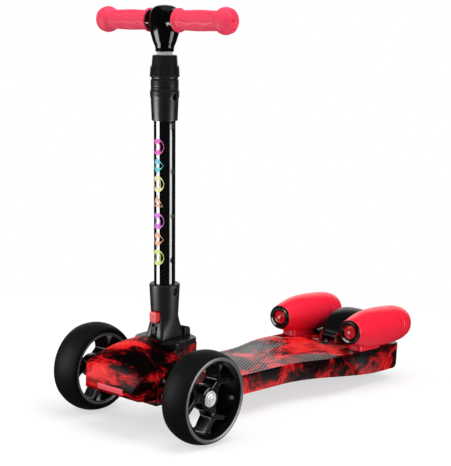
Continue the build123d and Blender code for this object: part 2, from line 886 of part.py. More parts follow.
# Handlebar: inner tube, guide bush, height button, T-head, cross bar and grips
with BuildPart() as inner_tube:
    with BuildSketch(stem.offset(inner_tube_foot)):
        Circle(inner_tube_radius)
        Circle(inner_tube_radius - inner_tube_wall, mode=Mode.SUBTRACT)
    extrude(amount=bar_height - bar_radius - head_web - inner_tube_foot)
    with BuildSketch(across(0, 0, 0)):
        with Locations(tube_point(height_hole_first)):
            Circle(height_button_radius + moving_gap)
    extrude(amount=2 * inner_tube_radius, mode=Mode.SUBTRACT)
save(inner_tube, "inner_tube")

with BuildPart() as guide_bush:
    with BuildSketch(stem.offset(inner_tube_foot)):
        Circle(tube_radius - tube_wall - running_fit)
        Circle(inner_tube_radius + seat_gap, mode=Mode.SUBTRACT)
    extrude(amount=guide_bush_length)
save(guide_bush, "guide_bush")

with BuildPart() as height_button:
    with BuildSketch(across(height_button_tip - height_button_length, 0, 0)):
        with Locations(tube_point(height_hole_first)):
            Circle(height_button_flange_radius)
    extrude(amount=height_button_flange)
    with BuildSketch(across(height_button_tip - height_button_length, 0, 0)):
        with Locations(tube_point(height_hole_first)):
            Circle(height_button_radius)
    extrude(amount=height_button_length)
    fillet(height_button.edges().sort_by(Axis.X)[-1], height_button_radius / 3)
save(height_button, "height_button")

with BuildPart() as t_head:
    with BuildSketch(stem_front):
        with BuildLine():
            Line((0, head_foot), (head_foot_radius, head_foot))
            Line((head_foot_radius, head_foot), (head_foot_radius, head_foot + head_foot_length))
            Spline(
                (head_foot_radius, head_foot + head_foot_length),
                (head_lower_bulge, bar_height - head_lower_drop),
                (head_upper_bulge, bar_height + head_upper_rise),
                (head_crown_radius, bar_height + head_top_rise - head_crown_drop),
                (0, bar_height + head_top_rise),
                tangents=[(0, 1), (-1, 0)],
            )
            Line((0, bar_height + head_top_rise), (0, head_foot))
        make_face()
    revolve(axis=stem_turn)
    with BuildSketch(across(-head_sleeve_end, 0, 0)):
        with Locations(tube_point(bar_height)):
            Circle(head_sleeve_radius)
    extrude(amount=2 * head_sleeve_end)
    with BuildSketch(across(-head_sleeve_end, 0, 0)):
        with Locations(tube_point(bar_height)):
            Circle(bar_radius + seat_gap)
    extrude(amount=2 * head_sleeve_end, mode=Mode.SUBTRACT)
    with BuildSketch(stem.offset(head_foot)):
        Circle(inner_tube_radius + seat_gap)
    extrude(amount=bar_height - bar_radius - head_web - head_foot, mode=Mode.SUBTRACT)
save(t_head, "t_head")

with BuildPart() as cross_bar:
    with BuildSketch(across(-bar_half_length, 0, 0)):
        with Locations(tube_point(bar_height)):
            Circle(bar_radius)
            Circle(bar_radius - bar_wall, mode=Mode.SUBTRACT)
    extrude(amount=2 * bar_half_length)
save(cross_bar, "cross_bar")

grip_start = head_sleeve_end + seat_gap
grip_end = bar_half_length + grip_end_wall
bar_y, bar_z = tube_point(bar_height)
with BuildPart() as grip:
    with BuildSketch(wheel_section(0, bar_y, bar_z)):
        ball_start = grip_end - grip_ball_length
        grip_bore = bar_radius + seat_gap
        flange_end = grip_start + grip_flange_thickness
        with BuildLine():
            Polyline(
                (ball_start, grip_radius),
                (flange_end, grip_radius),
                (flange_end, grip_flange_radius - grip_edge),
                (flange_end - grip_edge, grip_flange_radius),
                (grip_start, grip_flange_radius),
                (grip_start, grip_bore),
                (bar_half_length + seat_gap, grip_bore),
                (bar_half_length + seat_gap, grip_end_hole_radius),
                (grip_end, grip_end_hole_radius),
            )
            Spline(
                (grip_end, grip_end_hole_radius),
                (grip_end - grip_end_round, grip_end_shoulder),
                (grip_end - grip_ball_length / 2, grip_ball_radius),
                (ball_start, grip_radius),
                tangents=[(0, 1), (-1, -0.55)],
            )
        make_face()
        rib_span = ball_start - flange_end
        rib_pitch = rib_span / grip_rib_count
        for rib in range(grip_rib_count):
            with Locations((flange_end + (rib + 0.5) * rib_pitch, grip_radius)):
                Rectangle(rib_pitch / 2, 2 * grip_rib_height)
    revolve(axis=Axis((0, bar_y, bar_z), (1, 0, 0)))
save_pair(grip, "grip")


# Deck: ribbed body with flared rear, anti-slip pad in its top
def deck_outline(inset, start, end, end_half_width):
    half = deck_half_width - inset
    rear_half = rear_half_width - inset
    front_half = deck_front_half_width - inset
    with BuildLine() as outline:
        Polyline((0, start), (front_half, start))
        Spline(
            (front_half, start),
            (half, start + deck_front_round),
            tangents=[(1, 0.2), (0, 1)],
        )
        Line((half, start + deck_front_round), (half, flare_start))
        Spline((half, flare_start), (rear_half, flare_end), tangents=[(0, 1), (0, 1)])
        if end_half_width < rear_half:
            Polyline(
                (rear_half, flare_end),
                (rear_half, saddle_front - 2 * inset),
                (end_half_width, saddle_front - 2 * inset),
                (end_half_width, end),
                (0, end),
            )
        else:
            Polyline((rear_half, flare_end), (rear_half, end), (0, end))
        mirror(about=Plane.YZ)
    return outline


def pad_outline():
    pad_front = deck_front + pad_front_gap
    pad_back = slot_front - pad_back_gap
    return deck_outline(pad_margin, pad_front, pad_back, rocket_x - saddle_half_width - pad_margin)


slot_reach = 2 * (deck_back - slot_front)
pivot_y = wheelbase - brake_pivot_ahead
bolt_half = slot_half_width + bolt_seat
with BuildPart() as deck_body:
    with BuildSketch(floor.offset(rear_bottom)):
        add(deck_outline(0, deck_front, deck_back, rear_half_width))
        make_face()
    extrude(amount=deck_height - rear_bottom)
    fillet(deck_body.edges().filter_by(Axis.Z).group_by(Axis.Y)[-1], deck_corner_radius)
    with BuildSketch(side):
        with BuildLine():
            Polyline(
                (drop_end, rear_bottom),
                (drop_end, 0),
                (0, 0),
                (0, deck_bottom),
                (drop_start, deck_bottom),
            )
            Spline(
                (drop_start, deck_bottom),
                (drop_end, rear_bottom),
                tangents=[(1, 0), (1, 0)],
            )
        make_face()
    extrude(amount=2 * rear_half_width, both=True, mode=Mode.SUBTRACT)
    fillet(deck_body.faces().sort_by(Axis.Z)[-1].edges(), deck_edge_round)
    with BuildSketch(floor.offset(deck_height - pad_thickness)):
        add(pad_outline())
        make_face()
    extrude(amount=2 * pad_thickness, mode=Mode.SUBTRACT)
    pocket_roof = deck_height - pad_thickness - deck_skin
    with BuildSketch(floor):
        pocket_pitch = pocket_length + pocket_rib
        with Locations((0, pocket_first + pocket_pitch * pocket_rows / 2)):
            with GridLocations(pocket_width + pocket_rib, pocket_pitch, 2, pocket_rows):
                RectangleRounded(pocket_width, pocket_length, pocket_corner)
    extrude(amount=pocket_roof, mode=Mode.SUBTRACT)
    with BuildSketch(floor):
        with Locations((0, deck_front + tongue_length / 2)):
            Rectangle(2 * neck_half_width + 2 * moving_gap, tongue_length + 2 * moving_gap)
    extrude(amount=tongue_bottom + tongue_height + seat_gap, mode=Mode.SUBTRACT)
    with BuildSketch(floor):
        with Locations((0, slot_front + slot_reach / 2)):
            RectangleRounded(2 * slot_half_width, slot_reach, slot_corner)
    extrude(amount=2 * deck_height, mode=Mode.SUBTRACT)
    lug_start = brake_barrel_half + moving_gap
    for start in (lug_start, -lug_start - brake_lug_thickness):
        with BuildSketch(side.offset(start)):
            with Locations((pivot_y, brake_pivot_height)):
                Circle(brake_barrel_radius)
            with BuildLine():
                Polyline(
                    (pivot_y - brake_barrel_radius - brake_lug_foot, deck_height - brake_lug_root),
                    (pivot_y + brake_barrel_radius - brake_lug_root, deck_height - brake_lug_root),
                    (pivot_y + brake_barrel_radius - moving_gap, brake_pivot_height),
                    (pivot_y - brake_barrel_radius + moving_gap, brake_pivot_height),
                    close=True,
                )
            make_face()
            with Locations((pivot_y, brake_pivot_height)):
                Circle(brake_pin_radius + seat_gap, mode=Mode.SUBTRACT)
        extrude(amount=brake_lug_thickness)
    with BuildSketch(side.offset(-rear_half_width)):
        with Locations((wheelbase, rear_wheel_radius)):
            Circle(axle_radius + seat_gap)
    extrude(amount=2 * rear_half_width, mode=Mode.SUBTRACT)
    for start in (bolt_half, -bolt_half - rear_half_width):
        with BuildSketch(side.offset(start)):
            with Locations((wheelbase, rear_wheel_radius)):
                Circle(rear_axle_head + bolt_seat_clearance)
        extrude(amount=rear_half_width, mode=Mode.SUBTRACT)
save(deck_body, "deck_body")

with BuildPart() as deck_pad:
    with BuildSketch(floor.offset(deck_height - pad_thickness)):
        add(pad_outline())
        make_face()
    extrude(amount=pad_thickness)
save(deck_pad, "deck_pad")

# Rear wheel between the deck's arms, on a fixed axle
rear_hub = wheel_section(0, rear_axle_y, rear_wheel_radius)
rear_spin = Axis((0, rear_axle_y, rear_wheel_radius), (1, 0, 0))
with BuildPart() as rear_tyre:
    rear_tyre_bore = rear_rim_radius + seat_gap
    with BuildSketch(rear_hub) as rear_section:
        with Locations((0, (rear_tyre_bore + rear_wheel_radius) / 2)):
            Rectangle(rear_wheel_width, rear_wheel_radius - rear_tyre_bore)
        fillet(rear_section.vertices().group_by(Axis.Y)[-1], rear_tyre_shoulder)
    revolve(axis=rear_spin)
save(rear_tyre, "rear_tyre")

with BuildPart() as rear_core:
    with BuildSketch(rear_hub):
        with Locations((0, rear_rim_radius - rear_rim_wall / 2)):
            Rectangle(rear_wheel_width - 2 * rear_rim_end_inset, rear_rim_wall)
        with Locations((0, (hub_bore + rear_hub_radius) / 2)):
            Rectangle(rear_hub_width, rear_hub_radius - hub_bore)
    revolve(axis=rear_spin)
    with BuildSketch(across(-rear_hub_width / 4, rear_axle_y, rear_wheel_radius)):
        with PolarLocations((rear_hub_radius + rear_rim_radius - rear_rim_wall) / 2, rear_spoke_count):
            Rectangle(rear_rim_radius - rear_hub_radius, rear_spoke_width)
    extrude(amount=rear_hub_width / 2)
save(rear_core, "rear_core")

rear_bearing_start = rear_hub_width / 2 - bearing_width
with BuildPart() as rear_bearings:
    for start in (-rear_hub_width / 2, rear_bearing_start):
        with BuildSketch(across(start, rear_axle_y, rear_wheel_radius)):
            Circle(bearing_radius)
            Circle(bearing_bore, mode=Mode.SUBTRACT)
        extrude(amount=bearing_width)
save(rear_bearings, "rear_bearings")

with BuildPart() as rear_spacer:
    with BuildSketch(across(-rear_bearing_start, rear_axle_y, rear_wheel_radius)):
        Circle(spacer_radius)
        Circle(bearing_bore, mode=Mode.SUBTRACT)
    extrude(amount=2 * rear_bearing_start)
save(rear_spacer, "rear_spacer")

with BuildPart() as rear_sleeves:
    sleeve_reach = slot_half_width - rear_hub_width / 2 - 2 * moving_gap
    for start in (rear_hub_width / 2 + moving_gap, -rear_hub_width / 2 - moving_gap - sleeve_reach):
        with BuildSketch(across(start, rear_axle_y, rear_wheel_radius)):
            Circle(spacer_radius)
            Circle(axle_radius + seat_gap, mode=Mode.SUBTRACT)
        extrude(amount=sleeve_reach)
save(rear_sleeves, "rear_sleeves")

with BuildPart() as rear_axle:
    with BuildSketch(across(-bolt_half - rear_nut_height, rear_axle_y, rear_wheel_radius)):
        Circle(axle_radius)
    extrude(amount=2 * bolt_half + rear_nut_height)
    with BuildSketch(across(bolt_half, rear_axle_y, rear_wheel_radius)):
        Circle(rear_axle_head)
    extrude(amount=rear_axle_head_height)
save(rear_axle, "rear_axle")

with BuildPart() as rear_axle_nut:
    with BuildSketch(across(-bolt_half - rear_nut_height, rear_axle_y, rear_wheel_radius)):
        RegularPolygon(rear_nut_radius, 6)
        Circle(axle_radius + seat_gap, mode=Mode.SUBTRACT)
    extrude(amount=rear_nut_height)
save(rear_axle_nut, "rear_axle_nut")

# Mudguard brake over the rear wheel, hinged in front on the deck
brake_inner = rear_wheel_radius + brake_gap
brake_outer = brake_inner + brake_wall


def guard_point(radius, angle):
    return (
        wheelbase + radius * cos(radians(angle)),
        rear_wheel_radius + radius * sin(radians(angle)),
    )


def guard_arc(radius, start, end):
    ThreePointArc(
        guard_point(radius, start),
        guard_point(radius, (start + end) / 2),
        guard_point(radius, end),
    )


pedal_end = wheelbase + pedal_reach
pedal_top = rear_wheel_radius + brake_outer
with BuildPart() as brake_guard:
    with BuildSketch(side.offset(-brake_half_width)):
        with BuildLine():
            guard_arc(brake_outer, brake_front_angle, 90)
            Polyline(
                guard_point(brake_outer, 90),
                (pedal_end - pedal_lip, pedal_top),
                (pedal_end, pedal_top + pedal_lip_rise),
                (pedal_end, pedal_top + pedal_lip_rise - brake_wall),
                (pedal_end - pedal_lip, pedal_top - brake_wall),
                guard_point(brake_inner, 90),
            )
            guard_arc(brake_inner, 90, brake_front_angle)
            Line(guard_point(brake_inner, brake_front_angle), guard_point(brake_outer, brake_front_angle))
        make_face()
    extrude(amount=2 * brake_half_width)
    for start in (-brake_half_width, brake_half_width - brake_cheek):
        with BuildSketch(side.offset(start)):
            with BuildLine():
                low = brake_inner - brake_cheek_depth
                guard_arc(brake_outer, brake_cheek_front_angle, brake_cheek_back_angle)
                for angle in (brake_cheek_back_angle, brake_cheek_front_angle):
                    Line(guard_point(brake_outer, angle), guard_point(low, angle))
                guard_arc(low, brake_cheek_back_angle, brake_cheek_front_angle)
            make_face()
        extrude(amount=brake_cheek)
    with BuildSketch(side.offset(-brake_barrel_half)):
        with Locations((pivot_y, brake_pivot_height)):
            Circle(brake_barrel_radius - moving_gap)
        with BuildLine():
            Polyline(
                (pivot_y, brake_pivot_height + brake_barrel_radius - moving_gap),
                guard_point(brake_outer - root_overlap, brake_arm_angle),
                guard_point(brake_inner + root_overlap, brake_front_angle),
                (pivot_y, brake_pivot_height - brake_pin_radius - root_overlap),
                close=True,
            )
        make_face()
    extrude(amount=2 * brake_barrel_half)
    with BuildSketch(side.offset(-2 * brake_barrel_half)):
        with Locations((pivot_y, brake_pivot_height)):
            Circle(brake_pin_radius + running_fit)
    extrude(amount=4 * brake_barrel_half, mode=Mode.SUBTRACT)
    for start in (brake_barrel_half, -brake_barrel_half - 2 * brake_lug_thickness):
        with BuildSketch(side.offset(start)):
            with Locations((pivot_y, brake_pivot_height)):
                Circle(brake_barrel_radius + 3 * moving_gap)
        extrude(amount=2 * brake_lug_thickness, mode=Mode.SUBTRACT)
save(brake_guard, "brake_guard")

with BuildPart() as brake_pin:
    pin_half = brake_barrel_half + moving_gap + brake_lug_thickness
    with BuildSketch(side.offset(-pin_half)):
        with Locations((pivot_y, brake_pivot_height)):
            Circle(brake_pin_radius)
    extrude(amount=2 * pin_half)
save(brake_pin, "brake_pin")

# Rocket lamps: two half shells, tail cap, nose ring, lens and lamp board each
rocket_axis = Axis((rocket_x, front_axle_y, rocket_axis_height), (0, 1, 0))
rocket_section = Plane((rocket_x, front_axle_y, rocket_axis_height), x_dir=(0, 1, 0), z_dir=(1, 0, 0))
rocket_parting = Plane((rocket_x, front_axle_y, rocket_axis_height))


def rocket_body(inset, start, end):
    with BuildPart() as body:
        with BuildSketch(rocket_section):
            with BuildLine():
                Line((start, 0), (start, rocket_nose_radius - inset))
                Spline(
                    (start, rocket_nose_radius - inset),
                    (rocket_shoulder, rocket_shoulder_radius - inset),
                    (rocket_belly, rocket_belly_radius - inset),
                    (end, rocket_joint_radius - inset),
                )
                Line((end, rocket_joint_radius - inset), (end, 0))
                Line((end, 0), (start, 0))
            make_face()
        revolve(axis=rocket_axis)
    return body.part


rocket_solid = rocket_body(0, rocket_nose, rocket_joint)
rocket_hollow = rocket_body(rocket_wall, rocket_nose - 1, rocket_joint + 1)
with BuildPart() as rocket_upper:
    add(rocket_solid)
    add(rocket_hollow, mode=Mode.SUBTRACT)
    split(bisect_by=rocket_parting, keep=Keep.TOP)
save_pair(rocket_upper, "rocket_upper")

with BuildPart() as rocket_lower:
    add(rocket_solid)
    with BuildSketch(floor.offset(deck_height)):
        with Locations((rocket_x, saddle_front + saddle_length / 2)):
            RectangleRounded(2 * saddle_half_width, saddle_length, saddle_round)
    extrude(amount=rocket_axis_height - deck_height - rocket_nose_radius + rocket_wall)
    add(rocket_hollow, mode=Mode.SUBTRACT)
    split(bisect_by=rocket_parting, keep=Keep.BOTTOM)
save_pair(rocket_lower, "rocket_lower")

with BuildPart() as rocket_tail_cap:
    spigot_radius = rocket_joint_radius - rocket_wall - moving_gap
    with BuildSketch(rocket_section):
        with BuildLine():
            Polyline(
                (rocket_joint - rocket_spigot, 0),
                (rocket_joint - rocket_spigot, spigot_radius),
                (rocket_joint + seat_gap, spigot_radius),
                (rocket_joint + seat_gap, rocket_joint_radius - rocket_groove),
                (rocket_joint + rocket_groove, rocket_joint_radius - rocket_groove),
                (rocket_joint + rocket_groove, rocket_joint_radius),
            )
            Spline(
                (rocket_joint + rocket_groove, rocket_joint_radius),
                (rocket_tail - rocket_tail_bend, rocket_tail_bend_radius),
                (rocket_tail, rocket_tail_radius),
                tangents=[(1, -0.08), (0.45, -1)],
            )
            Polyline(
                (rocket_tail, rocket_tail_radius),
                (rocket_tail, nozzle_radius),
                (rocket_tail - nozzle_depth, nozzle_radius - nozzle_taper),
                (rocket_tail - nozzle_depth, 0),
                (rocket_joint - rocket_spigot, 0),
            )
        make_face()
    revolve(axis=rocket_axis)
save_pair(rocket_tail_cap, "rocket_tail")

with BuildPart() as nose_ring:
    ring_front = rocket_nose - nose_ring_depth
    with BuildSketch(rocket_section):
        with BuildLine():
            Polyline(
                (rocket_nose - seat_gap, lens_radius + seat_gap),
                (rocket_nose - seat_gap, nose_ring_radius),
                (ring_front + ring_edge, nose_ring_radius),
            )
            ThreePointArc(
                (ring_front + ring_edge, nose_ring_radius),
                (ring_front + ring_crown, nose_ring_radius - ring_lip_width),
                (ring_front + ring_lip, lens_radius + ring_lip_width),
            )
            Polyline(
                (ring_front + ring_lip, lens_radius + ring_lip_width),
                (ring_front + ring_edge, lens_radius + seat_gap),
                (rocket_nose - seat_gap, lens_radius + seat_gap),
            )
        make_face()
    revolve(axis=rocket_axis)
save_pair(nose_ring, "nose_ring")

with BuildPart() as nose_lens:
    lens_rim = ring_front + lens_rim_inset
    lens_back = rocket_nose - lens_back_gap
    with BuildSketch(rocket_section):
        with BuildLine():
            Line((lens_back, 0), (lens_back, lens_radius))
            Line((lens_back, lens_radius), (lens_rim, lens_radius))
            TangentArc((lens_rim - lens_dome, 0), (lens_rim, lens_radius), tangent=(0, 1))
            Line((lens_rim - lens_dome, 0), (lens_back, 0))
        make_face()
    revolve(axis=rocket_axis)
save_pair(nose_lens, "nose_lens")

with BuildPart() as lamp:
    board_y = front_axle_y + rocket_nose + lamp_board_back
    with BuildSketch(wheel_section(rocket_x, board_y, rocket_axis_height)):
        Circle(rocket_nose_radius - rocket_wall - lamp_board_gap)
    extrude(amount=lamp_board_thickness)
    with BuildSketch(wheel_section(rocket_x, board_y, rocket_axis_height)):
        Circle(lamp_led_radius)
    extrude(amount=lamp_led_length)
save_pair(lamp, "lamp")

# Screws that hold the hood to the cross frame
with BuildPart() as hood_screws:
    for end in (1, -1):
        for height in (cross_bottom + screw_low_rise, cross_bottom + screw_high_rise):
            start = cross_half_width if end > 0 else -cross_half_width - screw_head
            with BuildSketch(side.offset(start)):
                with Locations((-cross_front + screw_inset, height)):
                    Circle(screw_radius)
            extrude(amount=screw_head)
save(hood_screws, "hood_screws")
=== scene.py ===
from math import cos, pi, radians, sin, sqrt

import bmesh
import bpy
from mathutils import Matrix, Vector


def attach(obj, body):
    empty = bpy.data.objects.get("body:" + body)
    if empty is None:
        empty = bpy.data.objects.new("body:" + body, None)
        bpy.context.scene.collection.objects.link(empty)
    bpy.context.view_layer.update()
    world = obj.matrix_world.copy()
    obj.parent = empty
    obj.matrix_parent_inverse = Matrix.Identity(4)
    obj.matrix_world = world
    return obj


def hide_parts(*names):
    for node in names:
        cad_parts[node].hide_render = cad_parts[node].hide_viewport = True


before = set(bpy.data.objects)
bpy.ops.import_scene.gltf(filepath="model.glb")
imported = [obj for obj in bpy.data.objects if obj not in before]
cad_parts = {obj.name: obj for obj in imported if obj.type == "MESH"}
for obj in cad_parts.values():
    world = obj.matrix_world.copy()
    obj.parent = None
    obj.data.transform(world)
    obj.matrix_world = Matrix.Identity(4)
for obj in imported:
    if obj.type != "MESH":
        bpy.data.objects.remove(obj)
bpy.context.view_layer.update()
print("frame loaded")

# main places in the row frame, in millimetres
mm, perMetre = 0.001, 1000
axleY, frontAcross, frontHeight = -247.0, 107.5, 65.0
rearY, rearHeight = axleY + 510, 50.0
stemY, stemHeight, stemLean = axleY + 33, 125.0, radians(4.1)
barHeight = 444.3                   # grips' axis, measured up the stem
rocketAcross, rocketHeight, deckTop = 72.0, 96.2, 63.0
alongX, alongY = (1, 0, 0), (0, 1, 0)
weldGap = 1e-6                      # metres


def axes(origin, xAxis, zAxis):     # placing matrix; the origin is in millimetres
    x, z = Vector(xAxis).normalized(), Vector(zAxis).normalized()
    turn = Matrix((x, z.cross(x), z)).transposed().to_4x4()
    return Matrix.Translation(Vector(origin) * mm) @ turn


rowAxes = Matrix.Identity(4)
sideways = axes((0, 0, 0), alongY, alongX)
stemAxes = axes((0, stemY, stemHeight), alongX, (0, -sin(stemLean), cos(stemLean)))
frontHub = axes((frontAcross, axleY, frontHeight), alongY, alongX)
rearHub = axes((0, rearY, rearHeight), alongY, alongX)
rocketAxes = axes((rocketAcross, axleY, rocketHeight), alongX, alongY)
barY, barZ = stemY - barHeight * sin(stemLean), stemHeight + barHeight * cos(stemLean)
barAxes = axes((0, barY, barZ), alongY, alongX)


# node building

def makeGroup(name, inputs, outputs):
    group = bpy.data.node_groups.new(name, "ShaderNodeTree")
    for label, kind, value in inputs:
        socket = group.interface.new_socket(
            name=label, in_out="INPUT", socket_type="NodeSocket" + kind)
        socket.default_value = value
    for label, kind in outputs:
        group.interface.new_socket(
            name=label, in_out="OUTPUT", socket_type="NodeSocket" + kind)
    return group, group.nodes.new("NodeGroupInput"), group.nodes.new("NodeGroupOutput")


def addNode(tree, kind, **settings):
    node = tree.nodes.new("ShaderNode" + kind)
    for key, value in settings.items():
        setattr(node, key, value)
    return node


def feed(tree, value, socket):      # a number is set, an output is linked
    if isinstance(value, (int, float)):
        socket.default_value = value
    else:
        tree.links.new(value, socket)


def maths(tree, operation, *values):
    node = addNode(tree, "Math", operation=operation)
    for socket, value in zip(node.inputs, values):
        feed(tree, value, socket)
    return node.outputs[0]


def noiseNode(tree, vector, scale, **settings):
    node = addNode(tree, "TexNoise")
    feed(tree, scale, node.inputs["Scale"])
    tree.links.new(vector, node.inputs["Vector"])
    for label, value in settings.items():
        node.inputs[label].default_value = value
    return node


def swing(tree, noise, gain, base):  # noise about its middle, scaled and lifted
    centred = maths(tree, "SUBTRACT", noise.outputs["Fac"], 0.5)
    return maths(tree, "MULTIPLY_ADD", centred, gain, base)


def bumpNode(tree, height, strength, distance):
    node = addNode(tree, "Bump")
    node.inputs["Distance"].default_value = distance
    feed(tree, strength, node.inputs["Strength"])
    tree.links.new(height, node.inputs["Height"])
    return node.outputs[0]


def spanNode(tree, value, levels, **settings):  # from low and high, to low and high
    node = addNode(tree, "MapRange", **settings)
    for label, level in zip(("From Min", "From Max", "To Min", "To Max"), levels):
        node.inputs[label].default_value = level
    tree.links.new(value, node.inputs["Value"])
    return node.outputs[0]


def objectPoint(tree):
    return addNode(tree, "TexCoord").outputs["Object"]


# shared finish: slight colour drift, uneven gloss and fine grain
skinNoise = {"cloud": 38, "cloudDetail": 3, "smear": 120, "smearDetail": 5, "bump": 0.0004}


def buildMouldSkin(s):
    tree, gin, gout = makeGroup("mouldSkin", [
        ("Color", "Color", (0.5, 0.5, 0.5, 1)),
        ("Drift", "Float", 0.08),
        ("Roughness", "Float", 0.3),
        ("Unevenness", "Float", 0.06),
        ("Grain Size", "Float", 1.2),
        ("Grain Depth", "Float", 0.02),
    ], [("Color", "Color"), ("Roughness", "Float"), ("Normal", "Vector")])
    link, given, coord = tree.links.new, gin.outputs, objectPoint(tree)
    cloud = noiseNode(tree, coord, s["cloud"], Detail=s["cloudDetail"])
    shade = addNode(tree, "VectorMath", operation="SCALE")
    link(given["Color"], shade.inputs[0])
    link(swing(tree, cloud, given["Drift"], 1.0), shade.inputs["Scale"])
    link(shade.outputs[0], gout.inputs["Color"])
    smear = noiseNode(tree, coord, s["smear"], Detail=s["smearDetail"])
    link(swing(tree, smear, given["Unevenness"], given["Roughness"]), gout.inputs["Roughness"])
    grainScale = maths(tree, "DIVIDE", perMetre, given["Grain Size"])
    grain = noiseNode(tree, coord, grainScale)
    bump = bumpNode(tree, grain.outputs["Fac"], given["Grain Depth"], s["bump"])
    link(bump, gout.inputs["Normal"])
    return tree


mouldSkin = buildMouldSkin(skinNoise)

# shared print: wisps of red smoke and flame on black
flameShape = {
    "bends": ((0.8, 1.0), (1.9, 0.5)),  # scale and reach; each pass bends the next
    "bendDetail": 1.0, "lick": (1.0, 4.0, 0.55), "strand": (5.0, 3.0, 0.6), "strandGain": 0.4,
    "ramp": [
        (0.46, (0.002, 0.001, 0.0012)),
        (0.52, (0.03, 0.0006, 0.0012)),
        (0.57, (0.2, 0.002, 0.004)),
        (0.63, (0.62, 0.006, 0.009)),
        (0.74, (0.92, 0.03, 0.025)),
    ],
}


def setRamp(node, stops):
    ramp = node.color_ramp
    while len(ramp.elements) < len(stops):
        ramp.elements.new(0.5)
    for element, (position, colour) in zip(ramp.elements, stops):
        element.position = position
        element.color = (*colour, 1)


def buildFlamePrint(s):
    tree, gin, gout = makeGroup("flamePrint", [
        ("Scale", "Float", 14.0),
        ("Swirl", "Float", 0.05),
        ("Heat", "Float", 0.0),
        ("Stretch", "Vector", (1, 1, 1)),
    ], [("Color", "Color")])
    link, given = tree.links.new, gin.outputs

    def vectorNode(operation, first, second, label=1):
        node = addNode(tree, "VectorMath", operation=operation)
        link(first, node.inputs[0])
        link(second, node.inputs[label])
        return node.outputs[0]

    def wisps(scaleBy, detail, rough=0.5):
        scale = maths(tree, "MULTIPLY", given["Scale"], scaleBy)
        return noiseNode(tree, spot, scale, Detail=detail, Roughness=rough)

    spot = vectorNode("MULTIPLY", objectPoint(tree), given["Stretch"])
    for scaleBy, reach in s["bends"]:
        centred = addNode(tree, "VectorMath", operation="SUBTRACT")
        centred.inputs[1].default_value = (0.5, 0.5, 0.5)
        link(wisps(scaleBy, s["bendDetail"]).outputs["Color"], centred.inputs[0])
        pull = maths(tree, "MULTIPLY", given["Swirl"], reach)
        spot = vectorNode("ADD", spot, vectorNode("SCALE", centred.outputs[0], pull, "Scale"))
    lick, strand = wisps(*s["lick"]), wisps(*s["strand"])
    gain = s["strandGain"]
    fine = maths(tree, "MULTIPLY_ADD", strand.outputs["Fac"], gain, -gain / 2)
    total = maths(tree, "ADD", maths(tree, "ADD", lick.outputs["Fac"], fine), given["Heat"])
    ramp = addNode(tree, "ValToRGB")
    setRamp(ramp, s["ramp"])
    link(total, ramp.inputs[0])
    link(ramp.outputs["Color"], gout.inputs["Color"])
    return tree


flamePrint = buildFlamePrint(flameShape)

# shared lathe marks for steel and chrome
latheMarks = {"scale": 60, "detail": 5, "bump": 0.0002, "strength": 0.05, "stretch": (1, 1, 40)}


def buildTurnedMarks(s):
    tree, gin, gout = makeGroup("turnedMarks", [
        ("Roughness", "Float", 0.2),
        ("Spread", "Float", 0.1),
        ("Stretch", "Vector", s["stretch"]),
    ], [("Roughness", "Float"), ("Normal", "Vector")])
    link, given = tree.links.new, gin.outputs
    stretch = addNode(tree, "VectorMath", operation="MULTIPLY")
    link(objectPoint(tree), stretch.inputs[0])
    link(given["Stretch"], stretch.inputs[1])
    line = noiseNode(tree, stretch.outputs[0], s["scale"], Detail=s["detail"])
    link(swing(tree, line, given["Spread"], given["Roughness"]), gout.inputs["Roughness"])
    bump = bumpNode(tree, line.outputs["Fac"], s["strength"], s["bump"])
    link(bump, gout.inputs["Normal"])
    return tree


turnedMarks = buildTurnedMarks(latheMarks)

socketNames = {
    "metallic": "Metallic", "specular": "Specular IOR Level",
    "coat": "Coat Weight", "coatRoughness": "Coat Roughness",
}


def blankMaterial(name, fixed):
    material = bpy.data.materials.new(name)
    material.use_nodes = True
    shader = material.node_tree.nodes["Principled BSDF"]
    for key, value in fixed.items():
        shader.inputs[socketNames[key]].default_value = value
    return material, material.node_tree, shader


def placeGroup(tree, group, values):
    node = tree.nodes.new("ShaderNodeGroup")
    node.node_tree = group
    for label, value in values.items():
        node.inputs[label].default_value = value
    return node


def placeSkin(tree, shader, rough, grain, drift, uneven):
    skin = placeGroup(tree, mouldSkin, {
        "Drift": drift, "Roughness": rough, "Unevenness": uneven,
        "Grain Size": grain[0], "Grain Depth": grain[1],
    })
    targets = {"Color": "Base Color", "Roughness": "Roughness", "Normal": "Normal"}
    for label, target in targets.items():
        tree.links.new(skin.outputs[label], shader.inputs[target])
    return skin.inputs["Color"]


def mouldedFinish(name, colour, rough, grain, drift=0.08, uneven=0.06, **fixed):
    material, tree, shader = blankMaterial(name, fixed)
    placeSkin(tree, shader, rough, grain, drift, uneven).default_value = (*colour, 1)
    material.diffuse_color = (*colour, 1)
    return material


def metalFinish(name, colour, rough, spread, stretch=latheMarks["stretch"]):
    material, tree, shader = blankMaterial(name, {"metallic": 1.0})
    shader.inputs["Base Color"].default_value = (*colour, 1)
    marks = placeGroup(tree, turnedMarks, {
        "Roughness": rough, "Spread": spread, "Stretch": stretch})
    for label in ("Roughness", "Normal"):
        tree.links.new(marks.outputs[label], shader.inputs[label])
    return material


